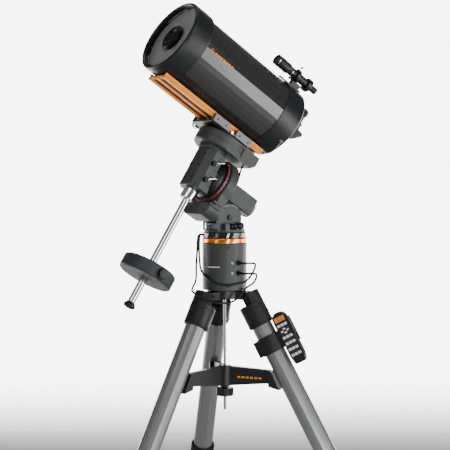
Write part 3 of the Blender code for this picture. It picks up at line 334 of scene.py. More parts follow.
def finish_of(name, colour, roughness, metallic=0.0, grain=600.0, bump=0.15, mottle=0.12,
              rough_spread=0.1, coat=0.0, specular=0.5, frame_matrix=None, stretch=(1, 1, 1)):
    """A surface with fine grain and cloudy tone, in the colour and in the roughness.

    frame_matrix and stretch lay the grain along a piece, as brushing or spinning does.
    """
    mat = bpy.data.materials.new(name)
    mat.use_nodes = True
    tree = mat.node_tree
    coords = node(tree, "TexCoord", {}).outputs["Object"]
    if frame_matrix is not None:
        rotation = frame_matrix.to_3x3().transposed().to_euler()
        turn = node(tree, "Mapping", {"Vector": coords, "Rotation": rotation})
        squeeze = node(tree, "Mapping", {"Vector": turn.outputs["Vector"], "Scale": stretch})
        coords = squeeze.outputs["Vector"]
    cloud = node(tree, "TexNoise", {"Vector": coords, "Scale": CLOUD_SCALE, "Detail": 4.0}).outputs["Fac"]
    fine = node(tree, "TexNoise", {"Vector": coords, "Scale": grain, "Detail": 3.0}).outputs["Fac"]
    half = node(tree, "Math", {0: fine, 1: 0.5}, operation="MULTIPLY").outputs[0]
    both = node(tree, "Math", {0: cloud, 1: 0.5, 2: half}, operation="MULTIPLY_ADD").outputs[0]
    dark = [c * (1 - mottle) for c in colour]
    light = [min(1.0, c * (1 + mottle)) for c in colour]
    tone = node(tree, "Mix", {"Factor": both, "A": (*dark, 1), "B": (*light, 1)}, data_type="RGBA")
    rough = node(tree, "MapRange", {"Value": both, "To Min": max(0.02, roughness - rough_spread),
                                    "To Max": min(1.0, roughness + rough_spread)})
    relief = node(tree, "Bump", {"Height": fine, "Strength": bump, "Distance": RELIEF_DEPTH})
    feed(tree, tree.nodes[SHADER], {
        "Base Color": tone.outputs["Result"], "Roughness": rough.outputs["Result"],
        "Normal": relief.outputs["Normal"], "Metallic": metallic, "Specular IOR Level": specular,
        "Coat Weight": coat, "Coat Roughness": COAT_ROUGHNESS})
    return mat


def glass_of(name, reflection_grey, roughness, clearness):
    """Coated optical glass whose grey base colour is a painted reflection of the studio's light."""
    mat = finish_of(name, reflection_grey, roughness, grain=160.0, bump=0.0, mottle=0.03, rough_spread=0.015)
    feed(mat.node_tree, mat.node_tree.nodes[SHADER], {"Transmission Weight": clearness, "IOR": 1.46})
    return mat


def glowing(name, colour, strength):
    """A lit display behind a smoked window."""
    mat = finish_of(name, colour, 0.25, grain=900.0, bump=0.02, mottle=0.1)
    glow = {"Emission Color": (*colour, 1.0), "Emission Strength": strength}
    feed(mat.node_tree, mat.node_tree.nodes[SHADER], glow)
    return mat


CAST = finish_of("cast_grey_paint", (0.041, 0.044, 0.043), 0.45, grain=1500.0, bump=0.3, specular=0.3)
IRON = finish_of("iron_grey_paint", (0.036, 0.039, 0.041), 0.5, grain=1100.0, bump=0.5, specular=0.3)
# Black anodising, also used for the painted shade of the hollow behind the levers.
BLACK = finish_of("black_anodised_and_painted_shade", (0.006, 0.006, 0.0065), 0.36, grain=1400.0, bump=0.12, specular=0.35)
GLOSS = finish_of("gloss_black", (0.006, 0.006, 0.007), 0.1, grain=500.0, bump=0.02, coat=0.6,
                  rough_spread=0.03)
PLASTIC = finish_of("black_plastic", (0.0085, 0.0085, 0.009), 0.45, grain=1800.0, bump=0.3, specular=0.3)
RUBBER = finish_of("black_rubber", (0.0075, 0.0075, 0.008), 0.62, grain=1500.0, bump=0.3, specular=0.3)
TUBE_PAINT = finish_of("tube_paint", (0.019, 0.0192, 0.0188), 0.13, grain=1700.0, bump=0.02,
                       rough_spread=0.03, frame_matrix=HEAD, stretch=(1.0, 0.35, 1.0))
CELL_PAINT = finish_of("cell_paint", (0.0085, 0.0088, 0.0095), 0.34, grain=1500.0, bump=0.2, specular=0.3)
MATT = finish_of("matt_black", (0.0035, 0.0035, 0.0038), 0.42, grain=1400.0, bump=0.2, specular=0.2)
FLOCK = finish_of("flocked_black", (0.003, 0.003, 0.003), 0.95, grain=1500.0, bump=0.6, specular=0.1)
ORANGE = finish_of("orange_anodised", (0.88, 0.3, 0.016), 0.45, metallic=0.1, grain=900.0, bump=0.06,
                   mottle=0.05, specular=0.25, frame_matrix=HEAD, stretch=(1.0, 0.05, 1.0))
# Dark red-brown for the bar's recesses: painted shade on the orange bar.
BAR_SHADE = finish_of("bar_painted_shade", (0.12, 0.02, 0.008), 0.6, grain=900.0, bump=0.06, specular=0.05)
TRIM = finish_of("orange_trim", (0.92, 0.23, 0.024), 0.16, metallic=0.8, grain=900.0, bump=0.03,
                 mottle=0.05, rough_spread=0.05)
CHROME = finish_of("chrome", (0.82, 0.82, 0.83), 0.09, metallic=1.0, grain=700.0, bump=0.01,
                   mottle=0.03, rough_spread=0.04)
SILVER = finish_of("silver_jaw", (0.1, 0.1, 0.105), 0.38, metallic=0.7, grain=1200.0, bump=0.15)
STEEL = finish_of("plain_steel", (0.33, 0.33, 0.34), 0.28, metallic=0.9, grain=900.0, bump=0.06)
MARK_ORANGE = finish_of("orange_print", (0.9, 0.25, 0.01), 0.6, grain=1500.0, bump=0.08, mottle=0.06,
                        specular=0.1)
# White for printed marks, and for the painted glints on the retaining ring's rim.
WHITE_PRINT_AND_GLINT = finish_of("white_print_and_glint", (0.75, 0.75, 0.73), 0.45, grain=1500.0, bump=0.08, mottle=0.05)
MIRROR = finish_of("mirror_silver", (0.88, 0.89, 0.9), 0.03, metallic=1.0, grain=300.0, bump=0.0,
                   mottle=0.02, rough_spread=0.01)
# The corrector's grey base colour is a painted reflection of the studio.
GLASS = glass_of("corrector_glass", (0.38, 0.38, 0.385), 0.06, 0.4)
LENS = finish_of("coated_lens", (0.012, 0.014, 0.03), 0.04, grain=300.0, bump=0.0, coat=1.0,
                 rough_spread=0.02, specular=0.8)
DISPLAY = glowing("display_orange", (0.95, 0.22, 0.02), 0.45)
LEG_FINISHES = [
    finish_of(f"leg_steel_{number}", (0.26, 0.26, 0.265), 0.3, metallic=0.8, grain=400.0, bump=0.03,
              mottle=0.06, frame_matrix=leg, stretch=(1.0, 1.0, 0.03))
    for number, leg in enumerate(LEGS, 1)]


def two_tone(mat, frame_matrix, weights, limit, second):
    """Give a finish a second colour where a length in a frame is over a limit.

    The length is that of the place in the frame, with each of its coordinates first multiplied.
    """
    tree = mat.node_tree
    shader = tree.nodes[SHADER]
    first = shader.inputs["Base Color"].links[0].from_socket
    place = node(tree, "TexCoord", {}).outputs["Object"]
    parts = {}
    for k, (weight, row) in enumerate(zip(weights, frame_matrix.inverted())):
        reach = {0: place, 1: [weight * row[j] for j in range(3)]}
        along = node(tree, "VectorMath", reach, operation="DOT_PRODUCT").outputs["Value"]
        parts[k] = node(tree, "Math", {0: along, 1: weight * row[3]}, operation="ADD").outputs[0]
    spot = node(tree, "CombineXYZ", parts).outputs[0]
    size = node(tree, "VectorMath", {0: spot}, operation="LENGTH").outputs["Value"]
    over = node(tree, "Math", {0: size, 1: limit}, operation="GREATER_THAN").outputs[0]
    mix = node(tree, "Mix", {"Factor": over, "A": first, "B": (*second, 1.0)}, data_type="RGBA")
    tree.links.new(mix.outputs["Result"], shader.inputs["Base Color"])
    return mat


# Each is black with a second colour: the ring beyond a radius, the keypad at its sides, and the levers
# behind a line that runs LEVER_LINE behind the head frame's origin.
RING_EDGE, KEYPAD_EDGE, LEVER_LINE, LEVER_ORIGIN = 0.0745, 0.0176, 0.004, 0.06
# The ring's red is its own colour, darkened all round as painted shade.
RA_RING = two_tone(finish_of("ra_ring_black", (0.01, 0.01, 0.011), 0.4, grain=900.0, bump=0.08),
                   HEAD, (1.0, 0.0, 1.0), RING_EDGE, (0.1, 0.007, 0.005))
KEYPAD = two_tone(finish_of("keypad_black", (0.012, 0.012, 0.013), 0.5, grain=1500.0, bump=0.12),
                  LEGS[1], (0.0, 1.0, 0.0), KEYPAD_EDGE, (0.66, 0.66, 0.64))
# The levers' black is partly their own black hub and partly painted shade. Only their far ends are chrome.
LEVER = two_tone(finish_of("lever_black_hub_and_shade", (0.006, 0.006, 0.006), 0.12, metallic=1.0, grain=700.0,
                           bump=0.01, rough_spread=0.04),
                 HEAD @ Matrix.Translation((0, -LEVER_ORIGIN, 0)), (0.0, 1.0, 0.0),
                 LEVER_ORIGIN + LEVER_LINE, (0.8, 0.8, 0.81))
CAD_FINISHES = (
    (CAST, "pier_tube azimuth_fork ra_housing ra_worm_housing dec_housing dec_motor_box"),
    (BLACK, "tripod_head spreader saddle finder_bracket finder_scope star_diagonal eyepiece altitude_axle"),
    (PLASTIC, "azimuth_knob counterweight_knob toe_saver spreader_knob handset_holder "
              "leg_cap_1 leg_cap_2 leg_cap_3 leg_lock_1 leg_lock_2 leg_lock_3"),
    (RUBBER, "focus_knob handset lead_plug_upper lead_plug_lower"),
    (CHROME, "altitude_screw shaft_collar counterweight_shaft saddle_knob_front saddle_knob_rear"),
    (STEEL, "centre_rod carry_handle leg_inner_1 leg_inner_2 leg_inner_3"),
    (CELL_PAINT, "front_cell rear_cell"), (LEVER, "clutch_lever_lower clutch_lever_upper"),
    (IRON, "counterweight"), (MATT, "secondary_holder"), (GLOSS, "pier_cap"), (KEYPAD, "handset_keypad"),
    (TUBE_PAINT, "optical_tube"), (ORANGE, "dovetail_bar"), (TRIM, "trim_ring"),
    (RA_RING, "ra_setting_ring"), (SILVER, "saddle_jaws"), (GLASS, "corrector_plate"),
    (MIRROR, "primary_mirror"),
    *((leg_paint, f"leg_tube_{number}") for number, leg_paint in enumerate(LEG_FINISHES, 1)),
)
ROUNDED = (
    (0.0004, "handset_keypad"), (0.0005, "dovetail_bar finder_bracket focus_knob front_cell"),
    (0.0006, "azimuth_knob saddle_knob_front saddle_knob_rear counterweight_knob rear_cell pier_tube"),
    (0.0008, "saddle_jaws handset_holder spreader_knob toe_saver counterweight_shaft"),
    (0.001, "saddle spreader star_diagonal pier_cap"),
    (0.0012, "azimuth_fork tripod_head leg_cap_1 leg_cap_2 leg_cap_3 shaft_collar"),
    (0.0014, "trim_ring"), (0.0015, "ra_housing"), (0.0016, "counterweight"), (0.0018, "dec_motor_box"),
    (0.002, "ra_worm_housing handset"), (0.0022, "dec_housing"),
)


def dress_cad():
    """Give the listed nodes of the model their finishes, and the listed ones a small radius on their hard
    edges.
    """
    for finish, names in CAD_FINISHES:
        for name in names.split():
            obj = NODES[name]
            for slot in obj.material_slots:
                slot.material = finish
            if not obj.material_slots:
                obj.data.materials.append(finish)
    for width, names in ROUNDED:
        for name in names.split():
            soften(NODES[name], width)


# ---- optical tube ---------------------------------------
TUBE_AXIS = HEAD @ placed("y", (0, 0, TUBE_Z))
TUBE_ROUND = HEAD @ Matrix.Translation((0, 0, TUBE_Z)) @ SWAP_YZ
# Rows of white ticks on the retaining ring's rim are painted glints.
RIM_GLINTS = ((68.0, 4), (98.0, 11), (212.0, 7))  # first angle and count of each row
RIM_GLINT_STEP = 4.2
GROOVES, BAFFLES = 3, 9
MARK_LIFT, MARK_PROUD = 0.00005, 0.0003  # where a printed bar starts and how far it stands out


def at_tube(angle, radius, y):
    """A frame on the tube: z points outwards at an angle from +x, y runs to the rear."""
    direction = Vector((cos(radians(angle)), 0.0, sin(radians(angle))))
    at = Vector((0, y, TUBE_Z)) + radius * direction
    rear = Vector((0, 1, 0))
    turn = Matrix((rear.cross(direction), rear, direction)).transposed().to_4x4()
    return HEAD @ Matrix.Translation(at) @ turn


def front_end():
    """The retaining ring with its screws and painted glints, the grooves, the lining and the cover."""
    inner, front, foot = CORRECTOR_R - 0.0055, CORRECTOR_Y - 0.0035, CORRECTOR_Y - 0.0003
    bm = bmesh.new()
    profile = [(inner, foot), (inner, front + 0.0006), (inner + 0.0007, front),
               (CORRECTOR_R - 0.0006, front), (CORRECTOR_R, front + 0.0006), (CORRECTOR_R, foot)]
    turned(bm, profile, 160, TUBE_AXIS, closed=True)
    piece("retaining_ring", bm, BLACK, "tube")

    spots = [at_tube(60 * k + 12, CORRECTOR_R - 0.0027, front - 0.0002) @ TO_FRONT for k in range(6)]
    cap_screws("retaining_screws", STEEL, "tube", spots, 0.0019, 0.001)
    # White ticks on the ring's rim: painted glints.
    bm = bmesh.new()
    for start, count in RIM_GLINTS:
        for k in range(count):
            at = at_tube(start + RIM_GLINT_STEP * k, CORRECTOR_R - 0.003, front)
            block(bm, (-0.0036, -0.0004, -0.0009), (0.0036, 0.0001, 0.0009), at)
    piece("rim_glints", bm, WHITE_PRINT_AND_GLINT, "tube")
    bm = bmesh.new()
    for k in range(GROOVES):
        r, y = CELL_R - 0.0112 - 0.0012 * k, CELL_FRONT + 0.0052 + 0.0036 * k
        turned(bm, [(r, y), (r - 0.0004, y + 0.0006), (r, y + 0.0012)], 160, TUBE_AXIS, closed=True)
    piece("cell_grooves", bm, BLACK, "tube")
    bm = bmesh.new()
    wall = TUBE_INSIDE_R - 0.0004
    turned(bm, [(TUBE_INSIDE_R, -0.27), (TUBE_INSIDE_R, 0.09), (wall, 0.09), (wall, -0.27)],
           120, TUBE_AXIS, closed=True)
    for k in range(BAFFLES):
        r, y = TUBE_INSIDE_R - 0.0003, -0.26 + 0.034 * k
        turned(bm, [(r, y), (r - 0.0023, y + 0.0004), (r, y + 0.0008)], 120, TUBE_AXIS, closed=True)
    piece("tube_lining", bm, FLOCK, "tube")

    cover = CORRECTOR_Y - 0.013
    back = CORRECTOR_Y - 0.0004
    bm = bmesh.new()
    dish = [(0, cover + 0.0026), (0.024, cover + 0.0026), (0.0262, cover + 0.0004),
            (0.0262, cover + 0.0028), (0, cover + 0.0029)]
    turned(bm, dish, 72, TUBE_AXIS)
    lip = [(0.0335, cover - 0.0001), (0.034, cover - 0.0007), (0.0395, cover - 0.0007),
           (0.04, cover - 0.0001)]
    turned(bm, lip, 72, TUBE_AXIS, closed=True)
    near, far = SECONDARY_R + 0.0001, SECONDARY_R + 0.0038
    shade = [(near, back), (far, back), (far, cover + 0.004), (far - 0.001, cover + 0.003),
             (near, cover + 0.003)]
    turned(bm, shade, 72, TUBE_AXIS, closed=True)
    piece("secondary_cover", bm, MATT, "tube", 0.0002)
    spots = [at_tube(120 * k + 30, 0.016, cover + 0.0026) @ TO_FRONT for k in range(3)]
    cap_screws("collimation_screws", IRON, "tube", spots, 0.0032, 0.0016)


def tube_patch(bm, angle, span, y0, y1):
    """A plain printed patch on the tube's side."""
    steps = max(2, int(span / 1.5))
    patch(bm, TUBE_ROUND, (angle, angle + span), steps, (y0, y1), TUBE_R + MARK_LIFT, MARK_PROUD)


def tube_marks():
    """A plain ring and bars in orange on the tube's side, and the tube's beads and rivets."""
    angle, start, pitch, width, bars = 1.6, -0.2313, 0.01236, 0.0082, 7
    ring_y, ring_r, dots = -0.2461, 0.0052, 12
    bm = bmesh.new()
    for k in range(bars):
        y = start + pitch * k
        tube_patch(bm, angle - 2.6, 2.4, y, y + width)
    tube_patch(bm, angle - 4.4, 0.7, start, start + (bars - 1) * pitch + width)
    for k in range(dots):
        a = 2 * pi * k / dots
        y = ring_y + ring_r * cos(a)
        tube_patch(bm, angle - 1.9 + 2.6 * sin(a), 0.9, y - 0.0015, y + 0.0015)
    piece("tube_mark", bm, MARK_ORANGE, "tube")
    bm = bmesh.new()
    for y in (-0.2716, 0.0978):
        band(bm, TUBE_AXIS, 160, (TUBE_R - 0.0002, TUBE_R + 0.0003), y - 0.0007, (0.0003, 0.0011, 0.0014))
    piece("tube_end_beads", bm, BLACK, "tube")
    bm = bmesh.new()
    for y in (-0.264, 0.088):
        for angle in (62, 118, 200, 340, 242, 298):
            disc(bm, 0.0024, -0.0002, 0.0007, 20, at_tube(angle, TUBE_R, y), 0.0002)
    piece("tube_rivets", bm, BLACK, "tube")


def rear_end():
    """The rear cell's screws and ribs, the visual back's grip and screws, and the handle's feet."""
    spots = [at_tube(60 * k + 30, 0.112, REAR_END) @ TO_REAR for k in range(6)]
    cap_screws("rear_screws", STEEL, "tube", spots, 0.0035, 0.0022)
    bm = bmesh.new()
    low, high = REAR_END - 0.0004, REAR_END + 0.001
    for r in (0.09, 0.064, 0.04):
        turned(bm, [(r - 0.0015, low), (r - 0.0008, high), (r + 0.0008, high), (r + 0.0015, low)],
               120, TUBE_AXIS, closed=True)
    for k in range(12):
        spoke = at_tube(30 * k + 15, 0.0775, REAR_END) @ TO_REAR
        block(bm, (-0.0012, -0.0115, -0.0004), (0.0012, 0.0115, 0.0009), spoke)
    piece("rear_ribs", bm, CELL_PAINT, "tube")
    bm = bmesh.new()
    for k in range(36):
        at = at_tube(10 * k, 0.026, REAR_END + 0.0065)
        block(bm, (-0.0009, -0.0045, -0.0004), (0.0009, 0.0045, 0.0007), at)
    piece("visual_back_knurl", bm, BLACK, "tube", 0.0002)
    bm = bmesh.new()
    for angle in (30.0, 195.0):
        thumb_screw(bm, at_tube(angle, 0.0205, REAR_END + 0.034), 0.0016, 0.0042, 0.011)
    piece("visual_back_screws", bm, CHROME, "tube")
    bm = bmesh.new()
    for angle in (-74.0, -40.0):
        at = at_tube(angle, REAR_R, 0.16)
        disc(bm, 0.0045, -0.0006, 0.0024, 28, at, 0.0005)
        socket_screw(bm, at @ Matrix.Translation((0, 0.0072, 0)), 0.0022, 0.0016)
        block(bm, (-0.0036, -0.004, -0.0006), (0.0036, 0.01, 0.0008), at)
    piece("handle_feet", bm, STEEL, "tube", 0.0003)


def viewing_end():
    """Rubber and glass on the diagonal and the eyepiece."""
    at = HEAD @ placed("z", (0, EYE_Y, TUBE_Z))
    bm = bmesh.new()
    turned(bm, [(0.0105, 0.1022), (0.0105, 0.103), (0.006, 0.1036), (0, 0.1038)], 48, at)
    piece("eyepiece_lens", bm, LENS, "ocular")
    bm = bmesh.new()
    band(bm, at, 64, (0.0212, 0.0217), 0.088, (0.0005, 0.0132, 0.0137))
    for k in range(5):
        band(bm, at, 64, (0.0214, 0.0222), 0.0895 + 0.0024 * k, (0.0004, 0.001, 0.0014))
    piece("eyepiece_grip", bm, RUBBER, "ocular")
    bm = bmesh.new()
    band(bm, at, 64, (0.0166, 0.0169), 0.056, (0.0003, 0.002, 0.0023))
    piece("eyepiece_band", bm, WHITE_PRINT_AND_GLINT, "ocular")
    bm = bmesh.new()
    for angle in (20.0, 200.0):
        turn = at @ Matrix.Rotation(radians(angle), 4, "Z")
        screw = turn @ Matrix.Translation((0.018, 0, 0.044)) @ ALONG["x"]
        thumb_screw(bm, screw, 0.0014, 0.0038, 0.0105)
    piece("diagonal_screws", bm, CHROME, "diagonal")
    bm = bmesh.new()
    slope = Vector((0, 0.0325, -0.035)).normalized()
    middle = HEAD @ Vector((0, EYE_Y + 0.0155, TUBE_Z - 0.0043))
    block(bm, (-0.014, -0.015, 0.0), (0.014, 0.015, 0.0009), facing(middle, HEAD.to_3x3() @ slope))
    piece("diagonal_plate", bm, BLACK, "diagonal", 0.0004)


def finder_details():
    """Grips, glass, bands and foot screws of the finder."""
    at = HEAD @ placed("y", (FINDER_X, 0, FINDER_Z))
    bm = bmesh.new()
    turned(bm, [(0.015, 0.0246), (0.008, 0.0238), (0, 0.0236)], 48, at)
    turned(bm, [(0.007, 0.2163), (0.0035, 0.217), (0, 0.2172)], 32, at)
    piece("finder_lenses", bm, LENS, "finder")
    bm = bmesh.new()
    for k in range(4):
        band(bm, at, 64, (0.0189, 0.0194), 0.03 + 0.006 * k, (0.0006, 0.0022, 0.0028))
    for k in range(5):
        band(bm, at, 48, (0.0114, 0.0119), 0.1975 + 0.0036 * k, (0.0005, 0.0016, 0.0021))
    piece("finder_grips", bm, RUBBER, "finder")
    bm = bmesh.new()
    for y, radii in ((0.027, (0.019, 0.0193)), (0.094, (0.0158, 0.0162))):
        band(bm, at, 64, radii, y, (0.0003, 0.0012, 0.0015))
    piece("finder_bands", bm, CHROME, "finder")
    spots = [at_tube(70.8, REAR_R + 0.005, y) @ Matrix.Translation((x, 0, 0))
             for y in (0.078, 0.16) for x in (-0.0085, 0.0085)]
    cap_screws("finder_foot_screws", STEEL, "tube", spots, 0.0024, 0.0018)


# ---- mount ----------------------------------------------
def on_head(points, direction):
    """Frames at points of the head frame, with every z along one direction."""
    return [HEAD @ facing(point, direction) for point in points]


def saddle_details():
    """Screws and the pin on the saddle and its jaws, the bar's screws, and painted shade in the bar's
    recesses.
    """
    spots = [at for face, out in ((-0.088, -1), (0.084, 1))
             for at in on_head([(x, face, 0.1575) for x in (-0.03, 0.03)], (0, out, 0))]
    cap_screws("saddle_screws", STEEL, "dec_axis", spots, 0.0035, 0.0025)
    spots = on_head([(0.068, y, 0.164) for y in (-0.075, -0.038, 0.028, 0.068)], (1, 0, 0))
    cap_screws("jaw_screws", BLACK, "jaws", spots, 0.003, 0.002)
    bm = bmesh.new()
    disc(bm, 0.0052, 0.0, 0.0075, 32, HEAD @ facing((0.064, -0.005, 0.1565), (1, 0, 0)), 0.0012)
    piece("jaw_pin", bm, CHROME, "jaws")
    spots = on_head([(x, y, 0.172) for y in (-0.308, 0.141) for x in (-0.025, 0.025)], (0, 0, -1))
    cap_screws("bar_screws", STEEL, "tube", spots, 0.004, 0.0026)
    # Thin dark sheets in the bar's recesses: painted shade.
    bm = bmesh.new()
    for near, far in ((-0.0358, -0.0072), (0.0072, 0.0358)):
        block(bm, (near, -0.302, 0.1716), (far, 0.135, 0.17205), HEAD)
    piece("bar_recess_shade", bm, BAR_SHADE, "tube")


def dec_details():
    """Bolts, seams and a black disc of painted shade for the hollow behind the levers on the declination
    housing.
    """
    points = [(x, BLOCK_FRONT, z) for z in (0.056, 0.012, -0.038) for x in (-0.024, 0.024)]
    cap_screws("dec_face_bolts", BLACK, "polar_axis", on_head(points, (0, -1, 0)), 0.0042, 0.0036)
    bm = bmesh.new()
    for z in (0.064, -0.052):
        socket_screw(bm, HEAD @ facing((BLOCK_HALF, 0.015, z), (1, 0, 0)), 0.0026, 0.0012)
        socket_screw(bm, HEAD @ facing((0.0442, -0.0238, z - 0.004), (1, -1, 0)), 0.0024, 0.0012)
    piece("dec_side_screws", bm, BLACK, "polar_axis")
    bm = bmesh.new()
    band(bm, HEAD, 120, (0.0752, 0.0757), 0.115, (0.0004, 0.0016, 0.002))
    piece("dec_seam", bm, BLACK, "polar_axis")
    spots = on_head([(x, 0.135, 0.135) for x in (-0.06, 0.06)], (0, 1, 0))
    cap_screws("dec_box_screws", STEEL, "polar_axis", spots, 0.003, 0.0018)
    # A black disc where the hollow behind the levers lies in shade: painted shade.
    bm = bmesh.new()
    disc(bm, 0.005, -0.0004, 0.0012, 32, HEAD @ facing((0.0702, 0.057, 0.121), (1, 0, 0)), 0.0003)
    piece("dec_hollow_shade", bm, BLACK, "polar_axis")
    bm = bmesh.new()
    ticks, long_every, rim_y = 72, 6, 0.06
    for k in range(ticks):
        half = (0.003 if k % long_every else 0.0052) / 2
        turn = POLAR @ Matrix.Rotation(2 * pi * k / ticks, 4, "Z")
        spot = turn @ Matrix.Translation((0.08085, 0, rim_y - half)) @ ALONG["x"]
        block(bm, (-0.00035, -half, 0.0), (0.00035, half, MARK_PROUD), spot)
    piece("ra_ring_ticks", bm, WHITE_PRINT_AND_GLINT, "polar_axis")


def weight_details():
    """The counterweight's bush and its knob's ribs."""
    seat = Matrix.Translation(JOINTS["counterweight_knob_turn"]["pos_m"]) @ ALONG["x"]
    bm = bmesh.new()
    ribs(bm, seat, 16, 0.0185, 0.0075, (0.0012, 0.0055), (-0.0006, 0.0008))
    disc(bm, 0.012, 0.0145, 0.0158, 40, seat, 0.0005)
    piece("weight_knob_ribs", bm, PLASTIC, "weight_knob", 0.0003)
    bm = bmesh.new()
    r, half = 0.03, 0.0008
    for z in (-0.36355, -0.41045):
        outline = [(r - 0.012, z), (r - 0.011, z + half), (r, z + half), (r + 0.001, z),
                   (r, z - half), (r - 0.011, z - half)]
        turned(bm, outline, 96, HEAD, closed=True)
    piece("weight_bush", bm, IRON, "weight")


def ra_details():
    """Screws, ribs and caps on the right ascension housings."""
    bm = bmesh.new()
    for side in (1, -1):
        points = [(side * 0.046, y, z) for y in (0.125, 0.2) for z in (-0.022, 0.02)]
        for at in on_head(points, (side, 0, 0)):
            socket_screw(bm, at, 0.0028, 0.0014)
    for at in on_head([(x, 0.048, z) for x in (-0.06, 0.06) for z in (-0.09, -0.118)], (0, -1, 0)):
        socket_screw(bm, at, 0.003, 0.0016)
    piece("ra_screws", bm, BLACK, "head")
    bm = bmesh.new()
    plate = [(0.0285, 0.2399), (0.029, 0.2406), (0.018, 0.2412), (0.0165, 0.2405), (0, 0.2405)]
    turned(bm, plate, 64, POLAR)
    piece("polar_cap_plate", bm, GLOSS, "head")
    bm = bmesh.new()
    ribs(bm, POLAR, 24, 0.0308, 0.232, (0.0012, 0.0045), (-0.0004, 0.0007))
    piece("polar_cap_ribs", bm, PLASTIC, "head", 0.0002)
    bm = bmesh.new()
    outline = arc(0.0, 0.0, 0.0036, 0, 360, 18)[:-1]
    for z in (-0.087, -0.102):
        prism(bm, outline, 0.0, 0.0012, HEAD @ facing((0.075, 0.082, z), (1, 0, 0)))
    piece("ra_side_plugs", bm, BLACK, "head", 0.0003)


def fork_details():
    """The altitude bolt's heads, the latitude scale, a plain mark and the base screws."""
    plate_x = LATITUDE_POS.x + 0.048
    spots = [facing((x, LATITUDE_POS.y, LATITUDE_POS.z), (out, 0, 0))
             for x, out in ((plate_x + 0.0043, 1), (LATITUDE_POS.x - 0.0523, -1))]
    cap_screws("altitude_bolt_heads", BLACK, "fork", spots, 0.0088, 0.0024, recess=0.8)
    bm = bmesh.new()
    ticks, long_every, first, step, scale_r = 15, 5, 50, 5.5, 0.0425
    dial = Matrix.Translation((plate_x, LATITUDE_POS.y, LATITUDE_POS.z)) @ ALONG["x"]
    for k in range(ticks):
        half = (0.0026 if k % long_every else 0.0045) / 2
        turn = dial @ Matrix.Rotation(radians(first + step * k), 4, "Z")
        tick = turn @ Matrix.Translation((scale_r, 0, 0))
        block(bm, (-half, -0.0003, 0.0), (half, 0.0003, 0.0002), tick)
    piece("latitude_scale", bm, WHITE_PRINT_AND_GLINT, "fork")
    bm = bmesh.new()
    z = LATITUDE_POS.z - 0.0245
    for k in range(5):
        y = LATITUDE_POS.y - 0.013 + 0.007 * k
        block(bm, (plate_x, y, z - 0.0008), (plate_x + MARK_PROUD, y + 0.0052, z + 0.0008))
    piece("fork_mark", bm, WHITE_PRINT_AND_GLINT, "fork")
    bm = bmesh.new()
    disc(bm, 0.0022, 0.0, MARK_PROUD, 24, facing((plate_x, LATITUDE_POS.y - 0.017, z), (1, 0, 0)), 0.0001)
    piece("fork_dot", bm, MARK_ORANGE, "fork")
    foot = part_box("azimuth_fork")[0].z + 0.01
    circle = arc(PIER_X, PIER_Y, 0.0625, 10, 370, 6)[:-1]
    spots = [facing((x, y, foot), (0, 0, 1)) for x, y in circle]
    cap_screws("fork_base_screws", STEEL, "fork", spots, 0.003, 0.0022)


# ---- pier -----------------------------------------------
PIER_UPRIGHT = Matrix.Translation((PIER_X, PIER_Y, 0))
PIER_MARK_STEPS = 6
PORT_HEIGHTS = (-0.0655, -0.0998)  # above the trim ring's underside, as all heights here
PIER_SEAMS = ((-0.133, 0.0006), (-0.156, 0.0012), (-0.0012, 0.0006))  # height and half width


def on_pier(azimuth, z, radius=PIER_R):
    """A frame on the pier's side: z points outwards, y up."""
    a = radians(azimuth)
    out = Vector((cos(a), sin(a), 0))
    at = Vector((PIER_X, PIER_Y, z)) + radius * out
    turn = Matrix((Vector((-sin(a), cos(a), 0)), Vector((0, 0, 1)), out)).transposed().to_4x4()
    return Matrix.Translation(at) @ turn


def pier_mark(bm, azimuth, z, width, height):
    """A thin printed bar that follows the pier's side."""
    turn, rise = degrees(width / PIER_R) / 2, height / 2
    patch(bm, PIER_UPRIGHT, (azimuth - turn, azimuth + turn), PIER_MARK_STEPS, (z - rise, z + rise),
          PIER_R + MARK_LIFT, 0.0002)


